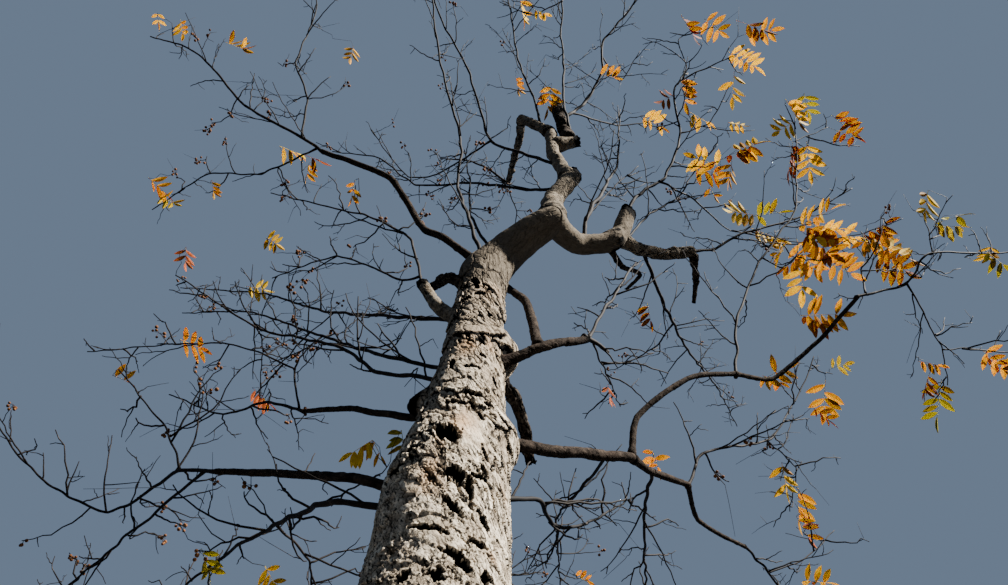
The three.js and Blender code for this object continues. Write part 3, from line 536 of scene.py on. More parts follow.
@dataclass
class Shape:
    """The points, faces and point marks of one piece, gathered before they go into its mesh."""

    points: list[Array] = field(default_factory=list)
    quads: list[Array] = field(default_factory=list)
    triangles: list[Array] = field(default_factory=list)
    marks: dict[str, list[Array]] = field(default_factory=dict)
    count: int = 0

    def add(self, points: Array, quads: Array, triangles: Array, **marks: Array) -> None:
        """Adds points in millimetres, faces that count from the first of them, and each mark's numbers.

        Args:
            points: The points.
            quads: The four-cornered faces.
            triangles: The three-cornered faces.
            marks: The numbers of each mark, one per point.
        """
        self.points.append(points.reshape(-1, 3))
        self.quads.append(quads.reshape(-1, 4) + self.count)
        self.triangles.append(triangles.reshape(-1, 3) + self.count)
        for name, values in marks.items():
            self.marks.setdefault(name, []).append(values.reshape((-1, 3) if name == GROWN else -1))
        self.count += len(self.points[-1])

    def tubes(self, courses: Array, radii: Array, sides: int, **marks: Array) -> None:
        """Adds closed round tubes along many courses of the same number of points.

        Each ring stands on its frame at the given radius, and a point at each end closes the tube.

        Args:
            courses: The middle lines, as (tube, ring, xyz).
            radii: The radius of each ring, as (tube, ring).
            sides: The number of sides.
            marks: One number for each tube.
        """
        if not len(courses):
            return
        _, side, across = (each[:, :, None] for each in frames(courses))
        angle = np.arange(sides)[:, None] * 2 * pi / sides
        ring = side * np.cos(angle) + across * np.sin(angle)
        walls = courses[:, :, None] + radii[:, :, None, None] * ring
        tubes, rings = radii.shape
        points = np.concatenate([walls.reshape(tubes, -1, 3), courses[:, :1], courses[:, -1:]], axis=1)
        quads, triangles = tube_faces(rings, sides)
        first = (np.arange(tubes) * points.shape[1])[:, None, None]
        numbers = {name: np.repeat(values, points.shape[1]) for name, values in marks.items()}
        self.add(points, quads[None] + first, triangles[None] + first, **numbers)

    def to_piece(self, name: str, material: Material, slot: str, *nodes: str) -> bpy.types.Object:
        """Puts the shape into a mesh object that rides on the one body.

        Faces painted dark as cracks and shade, and leaflets, are flat, which keeps their edges crisp. All
        others are smooth.

        Args:
            name: The piece's name.
            material: Its material.
            slot: Its kind of material in the record, which is not used.
            nodes: The solids that it stands for.

        Returns:
            The object.
        """
        points = np.concatenate(self.points) * MM
        quads, triangles = np.concatenate(self.quads), np.concatenate(self.triangles)
        mesh = bpy.data.meshes.new(name)
        mesh.vertices.add(len(points))
        mesh.vertices.foreach_set("co", points.astype(np.float32).ravel())
        corners = np.concatenate([quads.ravel(), triangles.ravel()]).astype(np.int32)
        starts = np.concatenate([np.arange(len(quads)) * 4, 4 * len(quads) + np.arange(len(triangles)) * 3])
        mesh.loops.add(len(corners))
        mesh.loops.foreach_set("vertex_index", corners)
        mesh.polygons.add(len(starts))
        mesh.polygons.foreach_set("loop_start", starts.astype(np.int32))
        is_smooth = np.full(len(starts), "edge" not in self.marks)
        if "groove_and_shade" in self.marks:
            is_smooth[:len(quads)] = np.concatenate(self.marks["groove_and_shade"])[quads].max(axis=1) < 0.15
        mesh.polygons.foreach_set("use_smooth", is_smooth)
        for mark, values in self.marks.items():
            is_grown = mark == GROWN
            layer = mesh.attributes.new(mark, "FLOAT_VECTOR" if is_grown else "FLOAT", "POINT")
            numbers = np.concatenate(values).astype(np.float32).ravel()
            layer.data.foreach_set("vector" if is_grown else "value", numbers)
        mesh.update(calc_edges=True)
        mesh.materials.append(material)
        piece = linked(name, mesh)
        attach(piece, "root")
        if nodes:
            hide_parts(*nodes)
        log.info("%s: %d triangles", name, 2 * len(quads) + len(triangles))
        return piece


def tube_faces(rings: int, sides: int) -> tuple[Array, Array]:
    """The outward faces of a tube whose rings come first and whose two end points come last.

    Args:
        rings: How many rings it has.
        sides: How many points each ring has.

    Returns:
        Its quads and its triangles.
    """
    ring, column = np.meshgrid(np.arange(rings - 1), np.arange(sides), indexing="ij")
    here, beside = ring * sides + column, ring * sides + (column + 1) % sides
    quads = np.stack([here, beside, beside + sides, here + sides], axis=-1).reshape(-1, 4)
    around = np.arange(sides)
    after = (around + 1) % sides
    last = (rings - 1) * sides
    foot = np.stack([np.full(sides, rings * sides), after, around], axis=-1)
    tip = np.stack([np.full(sides, rings * sides + 1), last + around, last + after], axis=-1)
    return quads, np.concatenate([foot, tip])


def scattered(cells: Array, seed: int) -> Array:
    """Three repeatable numbers from 0 to 1 for each whole-numbered cell, mixed from its three counts.

    Args:
        cells: The cells' counts along x, y and z.
        seed: Picks another set of numbers.

    Returns:
        The three numbers of each cell.
    """
    whole = cells.astype(np.int64)
    mixed = whole[..., 0] * 374761393 + whole[..., 1] * 668265263 + whole[..., 2] * 1440662683 + seed * 69069
    mixed = (mixed ^ (mixed >> 13)) & 0xFFFFFFFF
    mixed = (mixed * 1274126177) & 0xFFFFFFFF
    mixed ^= mixed >> 16
    mixed = (mixed * 668265263) & 0x7FFFFFFF
    return np.stack([(mixed >> shift) & 1023 for shift in (0, 10, 20)], axis=-1) / 1023.0


def noise(spots: Array, seed: int) -> Array:
    """Smooth noise from -1 to 1 with features about a unit across: lattice values blended along the axes.

    Args:
        spots: Where to read it, as xyz.
        seed: Picks another noise.

    Returns:
        One value for each spot.
    """
    low = np.floor(spots)
    blend = spots - low
    blend = blend * blend * (3 - 2 * blend)
    total = np.zeros(spots.shape[:-1])
    for corner in range(8):
        step = np.array([corner & 1, corner >> 1 & 1, corner >> 2])
        weight = np.prod(np.where(step, blend, 1 - blend), axis=-1)
        total += weight * scattered(low + step, seed)[..., 0]
    return total * 2 - 1


def drift(spots: Array, shift: float | Array, seed: int) -> Array:
    """Three noises at each spot, one for each direction, each read a shift further on."""
    return np.stack([noise(spots + k * shift, seed + k) for k in range(3)], axis=-1)


@dataclass(frozen=True)
class Cells:
    """At each spot, how far the nearest and next seed of a jittered grid are, and what the nearest holds."""

    nearest: Array
    following: Array
    draw: Array
    above: Array


def cells(spots: Array, seed: int) -> Cells:
    """The cells that spots lie in, where each unit cube holds one seed at a drawn place.

    Args:
        spots: Points, counted in cells.
        seed: What the seeds' places are drawn from.

    Returns:
        What is nearest to each spot.
    """
    low = np.floor(spots)
    nearest = np.full(spots.shape[:-1], 9.0)
    following = nearest.copy()
    draw = np.zeros_like(nearest)
    above = np.zeros_like(nearest)
    for step in np.ndindex(3, 3, 3):
        cell = low + (np.array(step) - 1)
        drawn = scattered(cell, seed)
        apart = spots - cell - drawn
        distance = np.linalg.norm(apart, axis=-1)
        closer = distance < nearest
        following = np.where(closer, nearest, np.minimum(following, distance))
        draw = np.where(closer, (drawn[..., 0] * 7 + drawn[..., 1] * 5) % 1, draw)
        above = np.where(closer, apart[..., 2], above)
        nearest = np.where(closer, distance, nearest)
    return Cells(nearest, following, draw, above)


def fade(value: Array, low: float, high: float) -> Array:
    """A smooth rise from 0 at low to 1 at high, or a fall where low is the larger."""
    share = np.clip((value - low) / (high - low), 0, 1)
    return share * share * (3 - 2 * share)


@dataclass(frozen=True)
class Mark:
    """A hole, slit or pit in the trunk's bark: its place, half sizes, depth, lean in degrees and darkness."""

    height: float
    faces: float
    wide: float
    tall: float
    depth: float
    lean: float = 0.0
    # How dark it is painted: partly the hole's own dark, partly painted shade in it.
    dark: float = 1.0


@dataclass(frozen=True)
class Burl:
    """A swelling on the trunk: its height, the side it faces, its rise, its spread and how dark it is."""

    height: float
    faces: float
    rise: float
    spread: float
    # How dark it is painted: painted shade for a burl in shade, partly also its own dark colour.
    dark: float = 0.0


@dataclass
class Bark:
    """Bark that flakes into plates, worked out in a limb's own straightened space.

    Warped cells of two sizes make the plates and the larger flakes. Each has its own level, so that its edge
    is a step, and a flake's lower part lifts off in a lip. Cracks follow the edges where a slow noise allows
    them, nicks run along the limb, and some cells of a third kind are pits. All three are also painted dark,
    partly as their own colour and partly as painted shade, and a flake's gap is widest under its lower edge,
    where the shadow of its lip is painted.
    """

    plate: float = 24.0
    flake: float = 66.0
    pit: float = 58.0
    stretch: float = 1.0
    relief: float = 1.0
    cracks: float = 1.0
    pits: float = 0.2
    seed: int = 7

    def at(self, spots: Array, calm: Array) -> tuple[Array, Array, Array]:
        """The bark at spots of the straightened limb.

        Args:
            spots: Points on the straightened limb, with the third number along it.
            calm: From 0 to 1, how far the relief is smoothed away at each spot.

        Returns:
            How far the bark stands out in millimetres, how dark its cracks, nicks and pits are painted, partly
            as their own colour and partly as painted shade, and its plate's tone.
        """
        tall = np.array([1.0, 1.0, 1 / self.stretch])
        sway, rag = drift(spots / 24, 9.7, self.seed), drift(spots / 7, 5.3, self.seed + 3)
        bent = spots + sway * (0.34 * self.plate) + rag * 2.8
        plates = cells(bent * tall / self.plate, self.seed)
        flakes = cells((bent + sway * 6) * tall / self.flake, self.seed + 11)
        holes = cells((bent + sway * 4) * tall / self.pit, self.seed + 23)
        patchy = noise(spots / 95, self.seed + 31)
        plate_gap = fade(plates.following - plates.nearest, 0.13, 0.05) * fade(patchy, -0.2, 0.4)
        # Gaps are wider along a flake's lower edge, in relief and in paint: painted shadow under the lifted
        # lip.
        below = fade(flakes.above, 0.1, -0.3)
        flake_gap = fade(flakes.following - flakes.nearest, 0.04 + 0.07 * below, 0.01 + 0.035 * below)
        flake_gap = flake_gap * fade(noise(spots / 50, 41), -0.4, 0.0)
        hole = fade(holes.nearest + 0.16 * rag[..., 0], 0.23, 0.18) * (holes.draw < self.pits)
        lip = fade(flakes.above, 0.1, -0.5) * fade(flakes.draw, 0.25, 0.5)
        level = 3.2 * (plates.draw - 0.5) + 4.6 * (flakes.draw - 0.5) + 6.0 * lip
        fine = 0.5 * noise(spots / 9, self.seed + 51) + 0.3 * noise(spots / 4.4, self.seed + 52)
        long = bent * np.array([1, 1, 0.4])
        nick = fade(noise(long / 9, self.seed + 61), 0.36, 0.48)
        nick = nick * fade(noise(spots / 80, self.seed + 62), -0.3, 0.1)
        depth = self.cracks * (3.0 * plate_gap + 8.0 * flake_gap + 3.2 * nick) + 15.0 * hole
        height = self.relief * (1 - 0.85 * calm) * (level + fine - depth)
        # Painted dark of cracks, nicks and pits: partly their own colour, partly painted shade in them.
        crack_and_shade = self.cracks * np.maximum(np.maximum(0.5 * plate_gap, flake_gap), 0.9 * nick)
        return height, np.maximum(crack_and_shade, hole) * (1 - calm), 0.55 * plates.draw + 0.45 * flakes.draw


@dataclass
class Trunk:
    """The trunk from its flat cut to the fork, running on through the right arm to that arm's cut stub."""

    lobes: int = 5
    lobe_turn: float = 0.6
    lobe_rise: float = 0.17
    lobe_fade: float = 190.0
    twist: float = -0.0022
    ring: float = 3.7
    coarse_ring: float = 9.0
    columns: int = 280
    fine_from: float = 2350.0
    heights: tuple[float, ...] = (3100.0, 3900.0, 4650.0)
    calm_from: float = 4650.0
    arm_calm: float = 0.8
    # How wide and how tall the plates are at some heights, against those of plain bark.
    plate_wide: tuple[Pair, ...] = ((2300, 1.0), (2700, 1.5), (3100, 1.4), (3900, 1.0))
    plate_tall: tuple[Pair, ...] = ((2300, 1.3), (2700, 0.85), (4100, 2.6), (4900, 2.6), (5300, 1.6))
    # Past this length run, the taper is evened out over so many rings to each side.
    even_from: float = 500.0
    even_rings: int = 9
    # The right arm's diameters at its joints and stub, and how its stub ends.
    arm_girths: tuple[float, ...] = (132.0, 116.0, 108.0, 98.0)
    stub_splinter: float = 22.0
    stub_cut: Pair = (100.0, 5.0)
    # Heights and sides of the smooth stretch, of the shelf where bark overhangs, and of the warm stains.
    smooth: Pair = (3345.0, 160.0)
    shelf: Pair = (4062.0, 172.0)
    stains: tuple[Pair, ...] = ((3100.0, 189.0), (3372.0, 167.0), (3960.0, 185.0))
    # A burl's last number paints it dark: painted shade, partly also the burl's own dark colour.
    burls: tuple[Burl, ...] = (
        Burl(3480, 95, 42, 95, 0.2), Burl(4120, 90, 56, 95), Burl(3740, 272, 64, 46, 1.4),
        Burl(4960, 262, 22, 80),
    )
    marks: tuple[Mark, ...] = (
        Mark(3292, 178, 27, 40, 26, 20), Mark(3100, 165, 20, 34, 24, 10), Mark(3060, 154, 7, 74, 17, 4),
        Mark(3126, 146, 24, 9, 12, 10), Mark(2972, 168, 9, 44, 15, 38), Mark(2740, 197, 15, 17, 14, 20),
        Mark(2744, 173, 15, 19, 14, -10), Mark(2790, 155, 14, 16, 14), Mark(2780, 137, 12, 20, 14),
        Mark(3500, 181, 24, 11, 14, -12), Mark(3572, 169, 24, 15, 15, 10), Mark(3572, 159, 17, 13, 14),
        Mark(3532, 143, 13, 14, 14), Mark(3740, 135, 8, 30, 13, 20), Mark(3876, 155, 13, 15, 13),
        Mark(2812, 163, 30, 9, 13, -14), Mark(2876, 143, 26, 9, 13, 20), Mark(2890, 186, 34, 8, 12, -20),
        Mark(4000, 107, 24, 74, 9, 6, 0.4), Mark(3170, 140, 9, 22, 12, 25), Mark(3250, 138, 8, 26, 12, 30),
        Mark(3440, 150, 8, 20, 10, 30), Mark(2960, 140, 8, 30, 12, 28), Mark(4300, 150, 9, 26, 11, 20),
        Mark(4610, 189, 13, 66, 15, 10), Mark(4500, 176, 22, 22, 14, 30), Mark(4460, 202, 15, 20, 12, -20),
        Mark(3815, 203, 9, 30, 10), Mark(3772, 171, 22, 9, 11, 10), Mark(3884, 155, 15, 11, 11, -15),
        Mark(1250, 200, 26, 40, 22, 12), Mark(1800, 120, 20, 34, 18, 20),
        Mark(2150, 30, 24, 38, 20), Mark(900, 310, 22, 44, 18, 10),
    )

    def chain(self, right_arm: Array, stub_end: Array) -> tuple[Course, Array]:
        """The joined course of trunk, right arm and stub, and the diameter at each of its joints."""
        stations = np.array(TRUNK_STATIONS[:-1], dtype=float)
        joints = np.vstack([stations[:, :3], right_arm, stub_end])
        return Course(joints), np.concatenate([stations[:, 3], self.arm_girths])

    def radius(self, places: Array, girths: Array, run: Array) -> Array:
        """The plain radius at each ring: its stations' diameters, evened out over a hand's breadth.

        Args:
            places: Each ring's place, counted in stations.
            girths: The stations' diameters.
            run: Each ring's length run from the foot.

        Returns:
            The radius at each ring.
        """
        plain = np.interp(places, np.arange(len(girths)), girths) / 2
        span = self.even_rings
        evened = np.convolve(np.pad(plain, span, "edge"), np.ones(2 * span + 1) / (2 * span + 1), "valid")
        return np.where(run < self.even_from, plain, evened)

    def grown(self, run: Array) -> Array:
        """Length run in the bark's own space, where plates are as tall as wide: they stretch with height."""
        stretch = np.interp(run, *zip(*self.plate_tall))
        return np.concatenate([[0], np.cumsum(np.diff(run) / stretch[1:])])

    def grid(self, points: Array, run: Array, grown: Array, radius: Array, bark: Bark) -> tuple:
        """The trunk's surface as a function of length run and compass side.

        The skin stands at the plain radius, times the root lobes, plus the burls and slow swellings, less the
        marks, plus the bark's own relief.

        Args:
            points: The middle line's points.
            run: The length run at each.
            grown: The length run at each in the bark's own space.
            radius: The plain radius at each.
            bark: The bark that covers it.

        Returns:
            The surface points as (ring, column, xyz), and the marks for painted dark of cracks and shade, tone
            and warmth.
        """
        _, outward = ways_out(points, self.columns)
        heading = np.arctan2(outward[..., 0], outward[..., 1])
        height, plain, upward = spread(self.columns, points[:, 2], radius, grown)
        turned = heading + self.twist * run[:, None]
        wide = plain * np.interp(height, *zip(*self.plate_wide))
        spots = np.stack([wide * np.sin(turned), wide * np.cos(turned), upward], axis=-1)
        skin = plain * (1 + np.cos(self.lobes * heading + self.lobe_turn) * self.lobe_rise
                        * np.exp(-height / self.lobe_fade))
        for burl in self.burls:
            skin = skin + burl.rise * self.falloff(heading, height, plain, burl)
        calm = 0.9 * np.exp(-self.away(heading, height, plain, self.smooth, (150, 62)) ** 2)
        calm = np.maximum(calm, 0.7 * fade(noise(spots / 210, 77), 0.4, 0.8))
        calm = np.maximum(calm, self.arm_calm * fade(run, self.calm_from, self.calm_from + 350)[:, None])
        aside = np.abs(self.apart(heading, self.shelf[1]))
        edge = self.shelf[0] + 36 * (aside / 0.75) ** 2
        past = height - edge - 8 * noise(spots / 24, 63) - 10 * noise(spots / 60, 67)
        over = fade(past, -3, 5) * fade(past, 190, 30) * fade(aside, 1.0, 0.7)
        calm = np.maximum(calm, 0.85 * over)
        calm = np.maximum(calm, 0.55 * fade(height, 3500, 2950))
        relief, groove_and_shade, tone = bark.at(spots, calm)
        # Burls in shade are painted dark: painted shade.
        for burl in self.burls:
            groove_and_shade = np.maximum(groove_and_shade, burl.dark * self.falloff(heading, height, plain, burl))
        skin = skin + relief + 5.5 * noise(spots / 170, 61) + 2.5 * noise(spots / 70, 62)
        for mark in self.marks:
            dip, lip, dark = self.dent(heading, height, plain, mark, spots)
            skin = skin - mark.depth * dip + 0.2 * mark.depth * lip
            groove_and_shade = np.maximum(groove_and_shade, dark)
        skin = skin + 9.0 * over
        # Painted shadow: a dark band just under the shelf's edge, beneath the overhanging bark.
        groove_and_shade = np.maximum(groove_and_shade, 0.9 * fade(past, -26, -4) * fade(past, 3, -3) * fade(aside, 0.95, 0.7))
        warm = fade(noise(spots / 75, 71), 0.6, 0.95) * 0.4
        for stain in self.stains:
            warm = np.maximum(warm, 0.75 * np.exp(-self.away(heading, height, plain, stain, (75, 34))))
        surface = points[:, None] + skin[..., None] * outward
        surface[..., 2] = np.maximum(surface[..., 2], 0)
        tone = tone * (1 - 0.7 * fade(height, 3000, 4300))
        return surface, {"groove_and_shade": groove_and_shade, "tone": tone, "warm": warm, "calm": calm, GROWN: spots * MM}

    def apart(self, heading: Array, faces: float) -> Array:
        """How far a heading in radians lies from a side in degrees, from minus to plus half a turn."""
        turn = heading - radians(faces)
        return np.arctan2(np.sin(turn), np.cos(turn))

    def away(self, heading: Array, height: Array, plain: Array, place: Pair, size: Pair) -> Array:
        """The squared distance from a height and side, counted in a half height and a half width."""
        return ((height - place[0]) / size[0]) ** 2 + (self.apart(heading, place[1]) * plain / size[1]) ** 2

    def falloff(self, heading: Array, height: Array, plain: Array, burl: Burl) -> Array:
        """A burl's bell from 1 at its middle: the solids' burl, with a rounder shoulder."""
        away = np.hypot(height - burl.height, self.apart(heading, burl.faces) * plain)
        return np.exp(-((away / burl.spread) ** 2))

    def dent(self, heading: Array, height: Array, plain: Array, mark: Mark,
             spots: Array) -> tuple[Array, Array, Array]:
        """One mark, a ragged leaning ellipse that is deepest on top.

        Args:
            heading: The compass heading of each point of the surface.
            height: Its height.
            plain: Its plain radius.
            mark: The mark.
            spots: Each point in the bark's own space.

        Returns:
            The mark's hollow, its lip and its painted darkness, each from 0 to 1. The darkness is partly the
            hole's own and partly painted shadow, darkest on top under the upper lip.
        """
        lean = radians(mark.lean)
        along = self.apart(heading, mark.faces) * plain
        rise = height - mark.height
        near = (np.abs(along) < 4 * mark.wide + 60) & (np.abs(rise) < 3 * mark.tall + 60)
        dip, lip, dark = (np.zeros(height.shape) for _ in range(3))
        across = along[near] * cos(lean) - rise[near] * sin(lean)
        upward = along[near] * sin(lean) + rise[near] * cos(lean)
        across = across / mark.wide + 0.45 * noise(spots[near] / 26, 83)
        upward = upward / mark.tall + 0.45 * noise(spots[near] / 26, 84)
        ragged = 1 + 0.5 * noise(spots[near] / 12, 81) + 0.3 * noise(spots[near] / 5, 82)
        away = np.hypot(across, upward) * ragged
        # Sunk deeper on top, and painted darker there: painted shadow under the upper lip.
        sunk = 0.5 + 0.5 * fade(upward, -0.9, 0.1)
        dip[near] = fade(away, 1.1, 0.85) * sunk
        lip[near] = np.exp(-(((away - 1.35) / 0.22) ** 2)) * fade(upward, -1, 1)
        dark[near] = mark.dark * fade(away, 1.12, 1.0) * sunk
        return dip, lip, dark

    def gnarl(self, surface: Array, marks: Marks, points: Array, places: Array) -> None:
        """Makes the right arm lumpy, with a dark ragged collar where its stub starts.

        Args:
            surface: The bark's surface, which it changes.
            marks: The surface's marks, of which it changes the painted dark of cracks and shade.
            points: The middle of each ring.
            places: Each ring's place, counted in stations.
        """
        spots = marks[GROWN] / MM
        ragged = np.abs(places[:, None] - len(TRUNK_STATIONS) - 1) + 0.16 * noise(spots / 18, 65)
        collar = fade(ragged, 0.3, 0.05)
        swell = 0.07 * noise(spots / 48, 64) + 0.13 * collar
        surface += (surface - points[:, None]) * swell[..., None]
        marks["groove_and_shade"] = np.maximum(marks["groove_and_shade"], 0.7 * collar * fade(noise(spots / 22, 66), -0.2, 0.3))

    def build(self, right_arm: Array, stub_end: Array, rough: Material, smooth: Material) -> None:
        """Makes the trunk's pieces from its foot up, the last of them the right arm with its stub.

        Args:
            right_arm: The right arm's joints.
            stub_end: The middle of its stub's cut.
            rough: The material of the trunk.
            smooth: The material of the elbow and the arm.
        """
        course, girths = self.chain(right_arm, stub_end)
        points, run, places = course.even(self.ring)
        radius, grown = self.radius(places, girths, run), self.grown(run)
        arm_from = int(np.searchsorted(places, len(TRUNK_STATIONS) - 1.0))
        edges = [*np.searchsorted(points[:arm_from, 2], (self.fine_from, *self.heights)), arm_from]
        coarse = np.linspace(0, edges[0] + 2, int(edges[0] * self.ring / self.coarse_ring))
        cuts = {"trunk_bark_foot": np.unique(coarse.astype(int))}
        for name, low, high in zip(("low", "middle", "high", "elbow"), edges[:-1], edges[1:]):
            cuts[f"trunk_bark_{name}"] = np.arange(low, high + 3)
        cuts["right_arm_bark"] = np.arange(arm_from, len(points))
        for name, rings in cuts.items():
            is_arm = name == "right_arm_bark"
            bark = Bark(plate=13, flake=34, pit=50, relief=0.5, cracks=0.5, pits=0.15) if is_arm else Bark()
            surface, marks = self.grid(points[rings], run[rings], grown[rings], radius[rings], bark)
            if is_arm:
                self.gnarl(surface, marks, points[rings], places[rings])
                cut = direction(*self.stub_cut)
                surface, marks = hollow_end(surface, marks, points[rings], self.stub_splinter, cut)
            shape = Shape()
            add_grid(shape, surface, marks, points[rings[0]], surface[-1].mean(axis=0))
            material = smooth if is_arm or name.endswith("elbow") else rough
            shape.to_piece(name, material, "bark", *(("right_arm", "right_stub") if is_arm else ("trunk",)))


# The rings of a cut end's rim and hollow: how far forward and how wide each is, in radii of the limb.
RIM_RINGS = ((0.1, 1.05), (0.16, 0.98), (0.08, 0.82), (-0.15, 0.66), (-0.5, 0.5), (-0.8, 0.24))


def hollow_end(surface: Array, marks: Marks, points: Array, splinter: float,
               faces: Array | None = None) -> tuple:
    """Ends a limb in a ragged lip round a hollow: more rings that turn over the rim and go back down inside.

    A cut that faces some way slants: over the last stretch each point slides along the limb until the rim
    lies square to that way. The last stretch and the hollow are painted near black, partly as dirty wood and
    partly as painted shade.

    Args:
        surface: The limb's surface as (ring, column, xyz).
        marks: Its point marks, as (ring, column).
        points: Its middle line.
        splinter: How far the rim strays along the limb.
        faces: The way that a slanting cut faces.

    Returns:
        The surface and its marks with the new rings.
    """
    middle = points[-1]
    along = unit(points[-1] - points[-3])
    reach = np.linalg.norm(surface[-1] - middle, axis=1).mean()
    if faces is not None:
        cut = unit(unit(faces) + along * 0.9)
        slide = -((surface[-1] - middle) @ cut) / (along @ cut)
        left = np.linalg.norm(points - middle, axis=1) / (2.2 * reach)
        share = np.clip(1 - left, 0, 1)[:, None, None]
        surface = surface + share * (slide[:, None] * along)[None]
    end = surface[-1]
    stray = noise(end / 14, 91) * splinter * 0.5 + noise(end / 5, 92) * splinter * 0.25
    # The stretch next to the end is painted dark: partly dirty wood, partly painted shade.
    away = np.linalg.norm(surface - end[None], axis=-1) + 14 * noise(surface / 16, 93)
    marks = dict(marks, groove_and_shade=np.maximum(marks["groove_and_shade"], fade(away, 1.3 * reach, 0.9 * reach)))
    rings, count = [surface], len(RIM_RINGS)
    for forward, share in RIM_RINGS:
        fall = stray * min(share * 1.2, 1)
        rings.append((middle + share * (end - middle) + along * (forward * reach + fall[:, None]))[None])
    # The hollow inside is painted near black: partly dirty wood, partly painted shade.
    inner = np.linspace(0.8, 1, count)[:, None] * np.ones(end.shape[0])
    ends = {name: np.repeat(values[-1:], count, axis=0) for name, values in marks.items()} | {"groove_and_shade": inner}
    return np.concatenate(rings), {name: np.concatenate([marks[name], ends[name]]) for name in marks}


def add_grid(shape: Shape, surface: Array, marks: Marks, foot: Array, tip: Array) -> None:
    """Adds one closed surface grid with a point at its foot and one at its tip.

    Args:
        shape: The piece's shape.
        surface: The surface as (ring, column, xyz).
        marks: Its point marks, as (ring, column).
        foot: The point that closes its first ring.
        tip: The point that closes its last ring.
    """
    rings, columns = surface.shape[:2]
    points = np.concatenate([surface.reshape(-1, 3), foot[None], tip[None]])
    quads, triangles = tube_faces(rings, columns)
    values = {name: np.concatenate([value.reshape(rings * columns, -1), value[0, :1].reshape(1, -1),
                                    value[-1, :1].reshape(1, -1)]) for name, value in marks.items()}
    shape.add(points, quads, triangles, **values)


